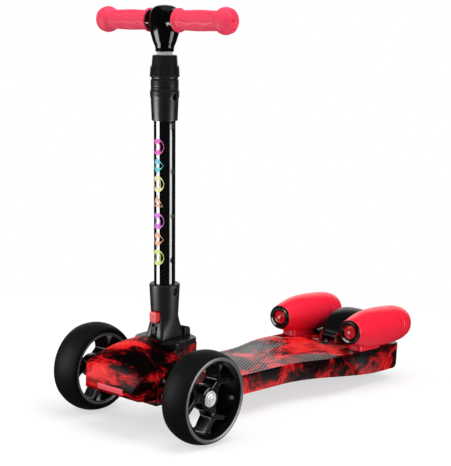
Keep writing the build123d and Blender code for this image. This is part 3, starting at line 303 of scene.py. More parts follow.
def printedFinish(name, scale, swirl, stretch, heat, rough,
                  heatBy=None, grain=(1.0, 0.01), drift=0.05, uneven=0.08, **fixed):
    material, tree, shader = blankMaterial(name, fixed)
    flame = placeGroup(tree, flamePrint, {
        "Scale": scale, "Swirl": swirl, "Heat": heat, "Stretch": stretch})
    if heatBy:                      # direction, where it is cold, where it is hot, gain
        axis, cold, hot, gain = heatBy
        along = addNode(tree, "VectorMath", operation="DOT_PRODUCT")
        along.inputs[1].default_value = axis
        tree.links.new(objectPoint(tree), along.inputs[0])
        warmth = spanNode(tree, along.outputs["Value"], (cold, hot, heat, heat + gain))
        tree.links.new(warmth, flame.inputs["Heat"])
    skinColour = placeSkin(tree, shader, rough, grain, drift, uneven)
    tree.links.new(flame.outputs["Color"], skinColour)
    return material


# rubber, plastics, and plating made bright with painted reflection: name, colour, roughness, grain
# size and depth
tyreRubber = mouldedFinish(
    "tyreRubber", (0.0062, 0.0062, 0.0064), 0.5, (0.8, 0.05), uneven=0.1, specular=0.04)
rimGloss = mouldedFinish(
    "rimGloss", (0.0024, 0.0024, 0.0027), 0.14, (2.5, 0.012), specular=0.32)
lipGrey = mouldedFinish("lipGrey", (0.13, 0.131, 0.134), 0.26, (1.5, 0.015), metallic=0.25)
frameSatin = mouldedFinish(
    "frameSatin", (0.009, 0.009, 0.0095), 0.38, (0.6, 0.06), specular=0.3)
rocketRed = mouldedFinish("rocketRed", (0.95, 0.016, 0.046), 0.24, (3.0, 0.008), specular=0.3)
tailRed = mouldedFinish("tailRed", (0.93, 0.016, 0.044), 0.26, (3.0, 0.01), specular=0.3)
ringBlack = mouldedFinish("ringBlack", (0.003, 0.003, 0.0034), 0.12, (2.5, 0.01))
lensRed = mouldedFinish(
    "lensRed", (0.6, 0.004, 0.012), 0.1, (3.0, 0.005),
    specular=0.3, coat=0.2, coatRoughness=0.03)
# pale pink for the small dome at the lens centre: a painted highlight
lensHighlightPink = mouldedFinish("lensHighlightPink", (0.92, 0.42, 0.42), 0.15, (2.0, 0.01), specular=0.6)
guardBlack = mouldedFinish(
    "guardBlack", (0.004, 0.004, 0.0045), 0.24, (1.2, 0.02), specular=0.25)
socketCharcoal = mouldedFinish(
    "socketCharcoal", (0.013, 0.0133, 0.015), 0.36, (0.7, 0.07), uneven=0.1, specular=0.3)
tubeBlack = mouldedFinish(
    "tubeBlack", (0.0012, 0.0012, 0.0014), 0.07, (5.0, 0.006),
    specular=1.0, coat=0.6, coatRoughness=0.03)
collarSatin = mouldedFinish(
    "collarSatin", (0.0105, 0.0105, 0.0107), 0.3, (0.6, 0.05), uneven=0.1, specular=0.45)
headBlack = mouldedFinish(
    "headBlack", (0.002, 0.002, 0.0022), 0.1, (3.0, 0.008), specular=0.35)
gripRubber = mouldedFinish(
    "gripRubber", (0.98, 0.06, 0.13), 0.46, (0.5, 0.08), drift=0.12, specular=0.18)
buttonRed = mouldedFinish("buttonRed", (0.78, 0.03, 0.035), 0.3, (0.8, 0.03), specular=0.3)
reflectorPink = mouldedFinish(
    "reflectorPink", (0.95, 0.11, 0.14), 0.3, (1.0, 0.03), specular=0.2)
bushWhite = mouldedFinish("bushWhite", (0.72, 0.72, 0.69), 0.4, (1.0, 0.03))
boardWhite = mouldedFinish("boardWhite", (0.62, 0.63, 0.6), 0.45, (1.0, 0.04))
# near-white, mostly diffuse base for the chrome inner tube: painted reflection standing in for what
# its plating mirrors
chromePaintedWhite = mouldedFinish("chromePaintedWhite", (0.95, 0.95, 0.955), 0.12, (3.0, 0.006), metallic=0.2)
# near-white, mostly diffuse base for the chrome axle bolts and front bearings: painted reflection
# making the bright ring round the hub
boltPaintedWhite = mouldedFinish("boltPaintedWhite", (0.88, 0.885, 0.89), 0.22, (1.5, 0.02), metallic=0.25)

# bare metals: name, colour, roughness and its spread
chromePlate = metalFinish("chromePlate", (0.82, 0.83, 0.85), 0.06, 0.05)
turnedSteel = metalFinish("turnedSteel", (0.52, 0.53, 0.55), 0.28, 0.14, (40, 1, 1))
darkSteel = metalFinish("darkSteel", (0.05, 0.05, 0.053), 0.3, 0.12)

# prints: name, scale, swirl, stretch, heat, roughness
hoodFlame = printedFinish(
    "hoodFlame", 21, 0.06, (0.55, 1.1, 1.8), -0.05, 0.28,
    ((-0.75, 0, -0.7), -0.1, -0.045, 0.13), specular=0.025)
neckFlame = printedFinish("neckFlame", 13, 0.07, (1, 1, 1.2), -0.03, 0.2, specular=0.4)
deckFlame = printedFinish(
    "deckFlame", 15, 0.07, (1, 0.86, 1.1), -0.1, 0.16,
    ((0, 1, 0), 0.315, 0.2, 0.16), specular=0.3)
padFlame = printedFinish(
    "padFlame", 13, 0.07, (1.1, 0.8, 1), 0.06, 0.07,
    grain=(0.6, 0.015), specular=0.45, coat=0.1, coatRoughness=0.03)
print("materials ready")


# mesh building, in millimetres
fineTurn, plainTurn, smallTurn = 192, 96, 64    # faces around a turned form
creaseAngle = 35                    # degrees


def rounded(points, steps=6):       # (radius, along, fillet) corners to a smooth closed outline
    count, out = len(points), []
    for k, (r, z, fillet) in enumerate(points):
        here = Vector((r, z))
        before, after = Vector(points[k - 1][:2]), Vector(points[(k + 1) % count][:2])
        if fillet <= 0:
            out.append(tuple(here))
            continue
        a, b = (before - here), (after - here)
        half = a.angle(b) / 2
        slope = max(0.05, abs(sin(half) / cos(half)))
        reach = min(fillet / slope, a.length * 0.49, b.length * 0.49)
        start, end = here + a.normalized() * reach, here + b.normalized() * reach
        for s in range(steps + 1):
            t = s / steps
            out.append(tuple(start * (1 - t) ** 2 + here * 2 * t * (1 - t) + end * t ** 2))
    return out


def curveThrough(points, steps=8):  # smooth run through a few points
    out, last = [], len(points) - 1
    for k in range(last):
        p0, p1 = Vector(points[max(0, k - 1)]), Vector(points[k])
        p2, p3 = Vector(points[k + 1]), Vector(points[min(last, k + 2)])
        for s in range(steps):
            t = s / steps
            out.append(tuple(0.5 * (
                2 * p1 + (p2 - p0) * t + (2 * p0 - 5 * p1 + 4 * p2 - p3) * t ** 2
                + (3 * p1 - p0 - 3 * p2 + p3) * t ** 3)))
    out.append(tuple(points[-1]))
    return out


def bridge(bm, loops, material=0):  # faces between closed loops of one length
    for low, high in loops:
        for k in range(len(low)):
            n = (k + 1) % len(low)
            bm.faces.new((low[k], low[n], high[n], high[k])).material_index = material


def lathe(profile, segments, closed=True, shape=None):
    bm = bmesh.new()
    rings = []
    for r, z in profile:
        if r < 1e-4:                # a point on the axis
            rings.append([bm.verts.new((0, 0, z))])
            continue
        ring = []
        for k in range(segments):
            angle = 2 * pi * k / segments
            reach = r if shape is None else shape(r, z, angle)
            ring.append(bm.verts.new((reach * cos(angle), reach * sin(angle), z)))
        rings.append(ring)
    following = rings[1:] + (rings[:1] if closed else [])
    for low, high in zip(rings, following):
        for k in range(segments):
            n = k + 1
            corners = [
                low[k % len(low)], low[n % len(low)],
                high[n % len(high)], high[k % len(high)],
            ]
            unique = list(dict.fromkeys(corners))
            if len(unique) > 2:
                bm.faces.new(unique)
    bmesh.ops.recalc_face_normals(bm, faces=bm.faces)
    return bm


def prism(outline, low, high, ease=0.0, steps=3):
    bm = bmesh.new()
    base = [bm.verts.new((x, y, low)) for x, y in outline]
    top = [bm.verts.new((x, y, high)) for x, y in outline]
    bm.faces.new(base[::-1])
    bm.faces.new(top)
    bridge(bm, [(base, top)])
    bmesh.ops.recalc_face_normals(bm, faces=bm.faces)
    if ease:
        level = [e for e in bm.edges if abs(e.verts[0].co.z - e.verts[1].co.z) < 1e-6]
        bmesh.ops.bevel(
            bm, geom=level, offset=ease, segments=steps, profile=0.5, affect="EDGES")
    return bm


def rod(radius, low, high, ease=0.0):
    corners = [(0, low, 0), (radius, low, ease), (radius, high, ease), (0, high, 0)]
    return lathe(rounded(corners), smallTurn, closed=False)


def moved(bm, matrix):
    bmesh.ops.transform(bm, matrix=matrix, verts=bm.verts)
    return bm


def shift(x, y, z):
    return Matrix.Translation((x, y, z))


def turned(axis, degreesTurn):
    return Matrix.Rotation(radians(degreesTurn), 4, axis)


def scaled(x=1, y=1, z=1):
    return Matrix.Diagonal((x, y, z, 1))


def gathered(*forms):               # several meshes in one
    out = bmesh.new()
    for form in forms:
        held = bpy.data.meshes.new("held")
        form.to_mesh(held)
        form.free()
        out.from_mesh(held)
        bpy.data.meshes.remove(held)
    return out


def holder(bm):
    mesh = bpy.data.meshes.new("holder")
    bm.to_mesh(mesh)
    bm.free()
    item = bpy.data.objects.new("holder", mesh)
    bpy.context.scene.collection.objects.link(item)
    return item


def baked(item, *others):           # the mesh after its modifiers
    bpy.context.view_layer.update()
    depsgraph = bpy.context.evaluated_depsgraph_get()
    mesh = bpy.data.meshes.new_from_object(item.evaluated_get(depsgraph))
    bm = bmesh.new()
    bm.from_mesh(mesh)
    bpy.data.meshes.remove(mesh)
    for spare in (item, *others):
        old = spare.data
        bpy.data.objects.remove(spare)
        bpy.data.meshes.remove(old)
    return bm


def carved(bm, tool):               # the first form without the second
    item, knife = holder(bm), holder(tool)
    cut = item.modifiers.new("cut", "BOOLEAN")
    cut.operation, cut.solver, cut.object = "DIFFERENCE", "EXACT", knife
    return baked(item, knife)


def melted(bm, voxel, rounds):      # one skin over all the forms, with eased corners
    item = holder(bm)
    skin = item.modifiers.new("skin", "REMESH")
    skin.mode, skin.voxel_size = "VOXEL", voxel
    ease = item.modifiers.new("ease", "SMOOTH")
    ease.factor, ease.iterations = 0.5, rounds
    return baked(item)


def nodeMesh(node):                 # a copy of a CAD form
    bm = bmesh.new()
    bm.from_mesh(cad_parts[node].data)
    bmesh.ops.remove_doubles(bm, verts=bm.verts, dist=weldGap)
    bmesh.ops.scale(bm, vec=(perMetre,) * 3, verts=bm.verts)
    return bm


def softened(node, voxel, rounds):  # a CAD form with the mould's small radii
    return melted(nodeMesh(node), voxel, rounds)


def addPiece(name, bm, place, body, material, replaces=(), slot=None,
             smooth=creaseAngle, mirrored=False):
    mesh = bpy.data.meshes.new(name)
    bm.to_mesh(mesh)
    mesh.transform(place @ scaled(mm, mm, mm))
    if mirrored:
        mesh.transform(scaled(x=-1))
        mesh.flip_normals()
    for item in material if isinstance(material, list) else [material]:
        mesh.materials.append(item)
    mesh.shade_smooth()
    mesh.set_sharp_from_angle(angle=radians(smooth))
    piece = bpy.data.objects.new(name, mesh)
    bpy.context.scene.collection.objects.link(piece)
    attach(piece, body)
    if replaces:
        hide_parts(*replaces)


def addOne(name, bm, *args, **kwargs):
    addPiece(name, bm, *args, **kwargs)
    bm.free()


def addPair(name, bm, place, body, material, replaces=(), slot=None, smooth=creaseAngle):
    for side, mirrored in (("left", False), ("right", True)):
        addPiece(
            f"{name}_{side}", bm, place, body.format(side=side), material,
            [node.format(side=side) for node in replaces], slot, smooth, mirrored,
        )
    bm.free()


def addSoft(name, node, ease, body, material, slot, change=rowAxes):  # ease: voxel, rounds
    bm = moved(softened(node, *ease), change)
    addOne(name, bm, rowAxes, body, material, [node], slot)


def dress(material, *nodes):        # a CAD node that keeps its shape
    for node in nodes:
        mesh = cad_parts[node].data
        mesh.materials.clear()
        mesh.materials.append(material)
        mesh.shade_smooth()
        mesh.set_sharp_from_angle(angle=radians(creaseAngle))


# front wheels
wheel = {
    "radius": 65.0, "halfWidth": 22.4, "bore": 53.05, "crownDrop": 6.0,
    "lipRadius": 58.9, "lipBore": 54.0, "lipFace": 17.6, "sideGroove": (57.6, 57.2, 56.4, 56.0),
    "barrelBore": 48.5, "hub": 17.0, "hubHalf": 12.0, "hubBore": 11.05,
    "spokeLow": -9.0, "spokeHigh": 13.0, "spokeAngles": (51, 171, 291), "spokeEase": (0.7, 7),
    "forkRadius": 30.0, "armAngle": 26, "stemWidth": 11.0, "armWidth": 7.4,
}


def buildTyre(w):
    half, bore, face = w["halfWidth"], w["bore"], w["lipFace"] - 0.1
    edge, seat, groove = w["radius"] - w["crownDrop"], w["lipRadius"] + 0.1, w["sideGroove"]
    levels = [half * (k / 14 - 1) for k in range(1, 28)]
    crown = [(w["radius"] - w["crownDrop"] * (z / half) ** 2, z) for z in levels]
    inner = rounded([
        (edge, -half + 1.5, 0), (edge - 0.6, -half + 0.2, 0.8),
        (groove[0], -half, 0.5), (groove[1], -half + 0.5, 0.2),
        (groove[2], -half + 0.5, 0.2), (groove[3], -half, 0.4),
        (bore, -half + 0.4, 0.4), (bore, face, 0.2), (seat, face, 0.2),
        (seat, half - 1.1, 0), (edge + 0.3, half - 1.0, 0),
    ], 5)
    return lathe(crown + inner[::-1], fineTurn)


def capsule(start, end, widthStart, widthEnd, steps=10):
    start, end = Vector(start), Vector(end)
    along = (end - start).normalized()
    across = Vector((-along.y, along.x))
    points = []
    for middle, width, first in ((end, widthEnd, -pi / 2), (start, widthStart, pi / 2)):
        for k in range(steps + 1):
            angle = first + pi * k / steps
            points.append(tuple(middle + (along * cos(angle) + across * sin(angle)) * width / 2))
    return points


def buildSpokes(w):
    hub, half, bore, fork = w["hub"], w["hubHalf"], w["hubBore"], w["forkRadius"]
    low, high, arm = w["spokeLow"], w["spokeHigh"], radians(w["armAngle"])
    forms = [lathe(rounded([
        (bore - 1.5, -half, 0.3), (hub, -half, 1.5), (hub + 1.5, 0, 4), (hub, half, 2.2),
        (bore + 0.8, half + 0.6, 0.8), (bore - 1.5, half - 4, 0.3),
    ]), plainTurn)]
    for degreesTurn in w["spokeAngles"]:
        turn = turned("Z", degreesTurn)
        stem = capsule((hub - 3, 0), (fork, 0), w["stemWidth"] + 3, w["stemWidth"])
        forms.append(moved(prism(stem, low, high - 0.6), turn))
        for side in (1, -1):
            end = (w["barrelBore"] * cos(arm), side * w["barrelBore"] * sin(arm))
            branch = capsule((fork - 2, 0), end, w["armWidth"] + 1, w["armWidth"])
            forms.append(moved(prism(branch, low, high), turn))
    return carved(melted(gathered(*forms), *w["spokeEase"]), rod(bore, -half - 2, half + 2))


def buildBarrel(w):
    half, face, inner, lip = w["halfWidth"], w["lipFace"], w["barrelBore"], w["lipBore"]
    outer = w["bore"] - 0.1
    return lathe(rounded([
        (inner, -half + 3.2, 0.5), (outer, -half + 3.2, 0.4), (outer, face - 0.3, 0.2),
        (lip - 0.1, face - 0.2, 0.1), (lip - 0.1, half - 1.4, 0.3), (lip - 0.9, half - 1.3, 0.4),
        (inner, face - 1.0, 1.5),
    ]), fineTurn)


def buildOuterLip(w):
    half, face, inner, outer = w["halfWidth"], w["lipFace"] - 0.1, w["lipBore"], w["lipRadius"]
    return lathe(rounded([
        (inner, face, 0.2), (outer, face, 0.2), (outer, half - 0.4, 1.0),
        (inner + 2.6, half, 1.2), (inner, half - 1.0, 0.6),
    ]), fineTurn)


def buildInnerLip(w):
    half, inner, outer = w["halfWidth"], w["barrelBore"], w["bore"] - 0.1
    return lathe(rounded([
        (inner - 0.2, -half + 3.4, 0.3), (inner + 0.6, -half + 1.0, 0.8),
        (w["bore"] - 0.6, -half + 0.2, 0.8), (outer, -half + 1.0, 0.4), (outer, -half + 3.3, 0.2),
    ]), fineTurn)


bearing = {"bore": 4.3, "race": 6.2, "cage": 9.3, "ring": 10.95, "sealInset": 0.6}


def buildBearings(b, *spans, proud=0.0):
    bore, race, cage, ring, inset = b.values()
    forms = []
    for start, end in spans:
        top, low, high = end + proud, start + inset, end - inset
        for profile in (
            [(cage, start, 0.3), (ring, start, 0.4), (ring, top, 0.5), (cage, top, 0.4)],
            [(bore, start, 0.3), (race, start, 0.3), (race, end, 0.3), (bore, end, 0.3)],
            [(race, low, 0.1), (cage, low, 0.1), (cage, high, 0.1), (race, high, 0.1)],
        ):
            forms.append(lathe(rounded(profile), plainTurn))
    return gathered(*forms)


axleBolt = {
    "profile": [                    # radius, along, fillet
        (0, -35.5, 0), (4.0, -35.5, 0.5), (4.0, 12.3, 0.1), (8.2, 12.3, 0.3), (8.2, 14.6, 0.7),
        (6.8, 15.0, 0.4), (6.5, 13.2, 0.3), (5.4, 13.2, 0.3), (5.2, 17.0, 1.2), (0, 17.3, 0),
    ],
    "keyRadius": 2.6, "keyFloor": 14.2, "keyTop": 20,
}


def buildAxleBolt(b):
    head = lathe(rounded(b["profile"]), plainTurn, closed=False)
    size = b["keyRadius"]
    hexagon = [(size * cos(pi * k / 3), size * sin(pi * k / 3)) for k in range(6)]
    return carved(head, prism(hexagon, b["keyFloor"], b["keyTop"]))


frontBearings = buildBearings(bearing, (-12, -5), (5, 12), proud=1.4)
for name, mesh, finish, replaced, slot in (
    ("frontTyre", buildTyre(wheel), tyreRubber, ["front_tyre_{side}"], "tyre_black"),
    ("wheelSpokes", buildSpokes(wheel), rimGloss, ["front_rim_{side}"], "rim_black"),
    ("wheelBarrel", buildBarrel(wheel), rimGloss, [], "rim_black"),
    ("wheelOuterLip", buildOuterLip(wheel), lipGrey, [], "rim_black"),
    ("wheelInnerLip", buildInnerLip(wheel), lipGrey, [], "rim_black"),
    # the front bearings' near-white base is painted reflection
    ("wheelBearings", frontBearings, boltPaintedWhite, ["front_bearings_{side}"], "bearing_steel"),
):
    addPair(name, mesh, frontHub, "wheel_{side}", finish, replaced, slot)
# the axle bolt's near-white base is painted reflection
addPair("axleBolt", buildAxleBolt(axleBolt), frontHub, "knuckle_{side}", boltPaintedWhite,
        ["front_axle_{side}"], "bolt_chrome")
dress(turnedSteel, "front_spacer_left", "front_spacer_right", "kingpin_left", "kingpin_right",
      "tie_rod")
knuckleEase = (0.45, 3)
for side in ("left", "right"):
    knuckle = f"knuckle_{side}"
    addSoft(f"knuckleBody_{side}", knuckle, knuckleEase, knuckle, frameSatin, "knuckle_black")
print("front wheels ready")

# hood, neck and fold hinge; an ease is the voxel and the rounds of smoothing
frontEnd = {"hood": (0.8, 7), "frame": (1.0, 7), "hinge": (0.6, 5), "hingeWiden": 1.1}
hoodShape = {"foot": 57.0, "half": 54.0, "widen": 1.1, "crest": 1.108, "sideDrop": 0.25}


def reshapeHood(bm, h):             # a higher crest, and lower and wider sides
    for v in bm.verts:
        rise = h["crest"] - h["sideDrop"] * (v.co.x / h["half"]) ** 2
        v.co.z = h["foot"] + (v.co.z - h["foot"]) * rise
        v.co.x *= h["widen"]
    return bm


hoodMesh = reshapeHood(softened("hood", *frontEnd["hood"]), hoodShape)
addOne("hoodShell", hoodMesh, rowAxes, "chassis", hoodFlame, ["hood"], "hood_print")
screwMesh = reshapeHood(nodeMesh("hood_screws"), hoodShape)
addOne("hoodScrews", screwMesh, rowAxes, "chassis", turnedSteel, ["hood_screws"], "pin_steel")
addSoft("neckFrame", "front_frame", frontEnd["frame"], "chassis", neckFlame, "frame_print")
addSoft("hingePlate", "hinge_base", frontEnd["hinge"], "chassis", guardBlack, "hinge_black",
        scaled(x=frontEnd["hingeWiden"]))

# plain reflector bar on the hood's front
reflector = {
    "place": (0, -318.0, 65.2), "tilt": 10.0, "long": 51.0, "tall": 8.3, "corner": 1.6,
    "inset": 1.3, "sink": 0.8, "base": 0.5, "proud": 0.9, "ease": 0.25,
}


def buildReflector(r):
    forms = []
    for inset, high in ((0, r["base"]), (r["inset"], r["proud"])):
        x, y = r["long"] / 2 - inset, r["tall"] / 2 - inset
        corners = [(-x, -y), (x, -y), (x, y), (-x, y)]
        outline = rounded([(*corner, r["corner"]) for corner in corners])
        forms.append(prism(outline, -r["sink"], high, r["ease"]))
    return gathered(*forms)


tilt = radians(reflector["tilt"])
reflectorAxes = axes(reflector["place"], alongX, (0, -cos(tilt), -sin(tilt)))
addOne("hoodReflector", buildReflector(reflector), reflectorAxes, "chassis", reflectorPink,
       slot="hood_print")
print("front end ready")

# stem: fold socket, tube, collar
stemPieces = {
    "socket": (0.7, 4), "button": (0.35, 4), "buttonSlim": 0.84,
    "collar": (0.45, 2), "nutFoot": 477.0, "nutTaller": 1.04,
}
foot = stemPieces["nutFoot"]
taller = shift(0, 0, foot) @ scaled(z=stemPieces["nutTaller"]) @ shift(0, 0, -foot)
addSoft("foldSocket", "stem_socket", stemPieces["socket"], "stem", socketCharcoal, "socket_black")
addSoft("foldButton", "fold_button", stemPieces["button"], "fold_button", buttonRed, "button_red",
        scaled(x=stemPieces["buttonSlim"]))
addSoft("collarSleeve", "collar_sleeve", stemPieces["collar"], "stem", collarSatin, "collar_black")
addSoft("collarNut", "collar_nut", stemPieces["collar"], "collar_nut", collarSatin, "collar_black",
        taller)
dress(tubeBlack, "stem_tube")
# the inner tube's near-white base is painted reflection
dress(chromePaintedWhite, "inner_tube")
dress(bushWhite, "collet", "guide_bush")
dress(darkSteel, "hinge_pin", "stem_snap_button", "height_button")

# pastel marks down the front of the tube
tubeMarks = {
    "radius": 15.0, "rise": 0.1, "sink": 0.3, "first": 272.5, "pitch": 25.9,
    "wide": 10.4, "tall": 11.4, "round": 40,
    "row": [                        # corners, turn, size of the opening, colour
        (40, 0, 0.42, (0.85, 0.12, 0.55)), (4, 0, 0.34, (0.14, 0.68, 0.78)),
        (40, 0, 0.5, (0.9, 0.88, 0.42)), (3, 90, 0.26, (0.92, 0.48, 0.3)),
        (40, 0, 0.42, (0.8, 0.2, 0.78)), (4, 0, 0.34, (0.92, 0.5, 0.3)),
        (40, 0, 0.5, (0.7, 0.85, 0.24)),
    ],
}


def markOutline(corners, turn, finest):  # unit outline, its sides cut fine enough to wrap
    angles = [2 * pi * k / corners + radians(turn) for k in range(corners)]
    points = [(cos(angle), sin(angle)) for angle in angles]
    cuts, out = max(1, finest // corners), []
    for (x, y), (nextX, nextY) in zip(points, points[1:] + points[:1]):
        out += [(x + (nextX - x) * c / cuts, y + (nextY - y) * c / cuts) for c in range(cuts)]
    return out


def buildTubeMarks(m):
    bm, finishes = bmesh.new(), []
    for index, (corners, turn, opening, colour) in enumerate(m["row"]):
        finishes.append(
            mouldedFinish(f"pastel{index}", colour, 0.45, (2.0, 0.01), specular=0.2))
        level, loops = m["first"] - m["pitch"] * index, []
        low, high = m["radius"] - m["sink"], m["radius"] + m["rise"]
        for size, reach in ((1, low), (1, high), (opening, high), (opening, low)):
            loop = []
            for x, y in markOutline(corners, turn, m["round"]):
                angle = -pi / 2 + x * size * m["wide"] / m["radius"]
                spot = (reach * cos(angle), reach * sin(angle), level + y * size * m["tall"])
                loop.append(bm.verts.new(spot))
            loops.append(loop)
        bridge(bm, zip(loops, loops[1:] + loops[:1]), index)
    bmesh.ops.recalc_face_normals(bm, faces=bm.faces)
    return bm, finishes


markMesh, markFinishes = buildTubeMarks(tubeMarks)
addOne("tubeMarks", markMesh, stemAxes, "stem", markFinishes, slot="tube_black")
print("stem ready")

# T-head and grips
handlebar = {
    "headFoot": 402.0, "headRadius": 13.0, "headTop": 465.3, "headEase": (0.55, 14),
    "headCurve": [(16.6, 417), (20.2, 430), (21.4, 443), (19.2, 456), (12.5, 463)],
    "barShare": 0.935, "sleeve": 15.2, "sleeveEnd": 24.4,
    "gripStart": 24.6, "gripEnd": 123.4, "bore": 9.2, "flange": 16.4, "flangeWide": 4.2,
    "barrel": 13.4, "swell": 0.7, "swellFrom": 34, "swellLong": 58, "step": 0.7,
    "ball": 18.1, "ballStart": 100.0, "knurl": 0.16, "knurls": 36,
    "waves": 14, "waveDepth": 0.95, "waveLength": 30.0, "waveSway": 1.3, "waveCut": 0.45,
    "ringPitch": 2.8, "ringDepth": 1.1, "segments": 288,
}


def buildHead(h):
    foot, radius = h["headFoot"], h["headRadius"]
    drop = lathe([(0, foot)] + curveThrough([
        (radius, foot), (radius + 0.1, foot + 6), *h["headCurve"], (0, h["headTop"]),
    ]), plainTurn, closed=False)
    across = shift(0, 0, barHeight) @ turned("Y", 90)
    sleeve = moved(rod(h["sleeve"], -h["sleeveEnd"], h["sleeveEnd"], 1.2), across)
    return melted(gathered(drop, sleeve), *h["headEase"])


def buildGrip(h):
    start, end, flange, barrel = h["gripStart"], h["gripEnd"], h["flange"], h["barrel"]
    flangeEnd, ballStart = start + h["flangeWide"], h["ballStart"]
    outline = [
        (h["bore"], start), (flange - 0.8, start), (flange, start + 0.9),
        (flange, flangeEnd - 0.9), (flange - 0.9, flangeEnd), (barrel + 1.0, flangeEnd + 0.4),
    ]
    z = flangeEnd + 1.4
    while z < ballStart - 2:
        share = min(1, max(0, (z - h["swellFrom"]) / h["swellLong"]))
        outline.append((barrel + h["swell"] * sin(pi * share) ** 2, z))
        z += h["step"]
    ball = curveThrough([
        (barrel + 0.1, ballStart - 2), (15.4, ballStart + 1), (17.4, ballStart + 5),
        (h["ball"], ballStart + 10), (17.4, ballStart + 15),
        (14.6, end - 3.6), (8.6, end - 0.9), (2.6, end),
    ], 20)
    for r, z in ball:               # rings pressed into the round end
        ringed = z > ballStart + 11 and r > 3
        press = h["ringDepth"] * (0.5 + 0.5 * sin(2 * pi * r / h["ringPitch"]))
        outline.append((r, z - press if ringed else z))
    outline += [(1.7, end - 0.5), (1.5, end - 4)]
    waveStart, waveEnd = flangeEnd + 4, ballStart - 4

    def relief(r, z, angle):
        if waveStart < z < waveEnd:
            fade = min(1, (z - waveStart) / 4, (waveEnd - z) / 4)
            sway = h["waveSway"] * sin(2 * pi * z / h["waveLength"])
            wave = max(0, sin(h["waves"] * angle + sway) - h["waveCut"])
            return r - h["waveDepth"] * fade * wave / (1 - h["waveCut"])
        if ballStart + 3 < z < ballStart + 12:
            turn = h["knurls"] * angle
            return r + h["knurl"] * sin(turn + z) * sin(turn - z)
        return r

    return lathe(outline, h["segments"], closed=False, shape=relief)


crossBar = moved(nodeMesh("cross_bar"), scaled(x=handlebar["barShare"]))
addOne("crossBar", crossBar, rowAxes, "handlebar", turnedSteel, ["cross_bar"], "pin_steel")
addOne("barHead", buildHead(handlebar), stemAxes, "handlebar", headBlack, ["t_head"],
       "head_black", smooth=60)
addPair("grip", buildGrip(handlebar), barAxes, "handlebar", gripRubber, ["grip_{side}"],
        "grip_red", smooth=60)
print("handlebar ready")

# deck and its anti-slip pad
deck = {
    "tailFrom": 275.0, "tailStretch": 1.66, "tailEnd": 295.0, "tailRound": 24.0, "bottom": 21.0,
    "halfWidth": 84.0, "plugRadius": 10.8, "plugThick": 4.0, "plugDish": (4.2, 3.6),
}
pad = {
    "thick": 2, "edge": 0.5, "ridge": 0.26, "ridgeWidth": 1.8, "ridgeLeast": 3,
    "pitch": 4.8, "angle": 27.0, "margin": 2.56,
}


def buildDeck(d):                   # the CAD deck with a longer tail, round below
    bm = nodeMesh("deck_body")
    for v in bm.verts:
        if v.co.y > d["tailFrom"]:
            v.co.y = d["tailFrom"] + (v.co.y - d["tailFrom"]) * d["tailStretch"]
    end, low, turn = d["tailEnd"], d["bottom"], d["tailRound"]
    corner = [(end - turn, low - 5), (end + 5, low - 5), (end + 5, low + turn)]
    for angle in [-pi / 2 * k / 12 for k in range(13)]:
        corner.append((end - turn + turn * cos(angle), low + turn + turn * sin(angle)))
    tool = prism(corner, -2 * d["halfWidth"], 2 * d["halfWidth"])
    return carved(bm, moved(tool, sideways))


def buildPlug(d):                   # cap over the rear axle's bore in the deck's side
    radius, (rim, dish), top = d["plugRadius"], d["plugDish"], d["plugThick"] - 0.2
    floor = d["plugThick"] - 0.9
    return lathe(rounded([
        (0, 0, 0), (radius, 0, 0.2), (radius, top, 0.8), (rim, top, 0.5),
        (dish, floor, 0.4), (0, floor, 0),
    ]), smallTurn, closed=False)


plugAxes = axes((deck["halfWidth"] - deck["plugThick"], rearY, rearHeight), alongY, alongX)
addOne("deckShell", buildDeck(deck), rowAxes, "chassis", deckFlame, ["deck_body"],
       "deck_print", smooth=28)
addPair("axlePlug", buildPlug(deck), plugAxes, "chassis", deckFlame, slot="deck_print")


def padLoop(node):                  # outline of the pad's top face
    bm = bmesh.new()
    bm.from_mesh(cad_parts[node].data)
    bmesh.ops.remove_doubles(bm, verts=bm.verts, dist=weldGap)
    top = max(v.co.z for v in bm.verts)
    held = {f for f in bm.faces if all(abs(v.co.z - top) < weldGap for v in f.verts)}
    rim = [e for e in bm.edges if sum(f in held for f in e.link_faces) == 1]
    links = {}
    for a, b in (e.verts for e in rim):
        links.setdefault(a, []).append(b)
        links.setdefault(b, []).append(a)
    start = rim[0].verts[0]
    loop, last, here = [start], None, start
    while True:
        step = next((v for v in links[here] if v is not last), None)
        if step is None or step is start:
            break
        loop.append(step)
        last, here = here, step
    points = [(v.co.x * perMetre, v.co.y * perMetre) for v in loop]
    bm.free()
    return points


def crossings(loop, origin, along):  # where a straight line meets the outline
    normal = Vector((-along.y, along.x))
    found = []
    for here, following in zip(loop, loop[1:] + loop[:1]):
        a, b = Vector(here) - origin, Vector(following) - origin
        da, db = a.dot(normal), b.dot(normal)
        if (da < 0) != (db < 0):
            found.append((a + (b - a) * da / (da - db)).dot(along))
    return sorted(found)


def addRidge(bm, p, first, last, normal):  # three-sided bar between two points
    side, top, ends = normal * p["ridgeWidth"] / 2, deckTop + p["ridge"], []
    for spot in (first, last):
        corners = ((*(spot - side), deckTop), (*spot, top), (*(spot + side), deckTop))
        ends.append([bm.verts.new(corner) for corner in corners])
    bridge(bm, [ends])
    bm.faces.new(ends[0][::-1])
    bm.faces.new(ends[1])


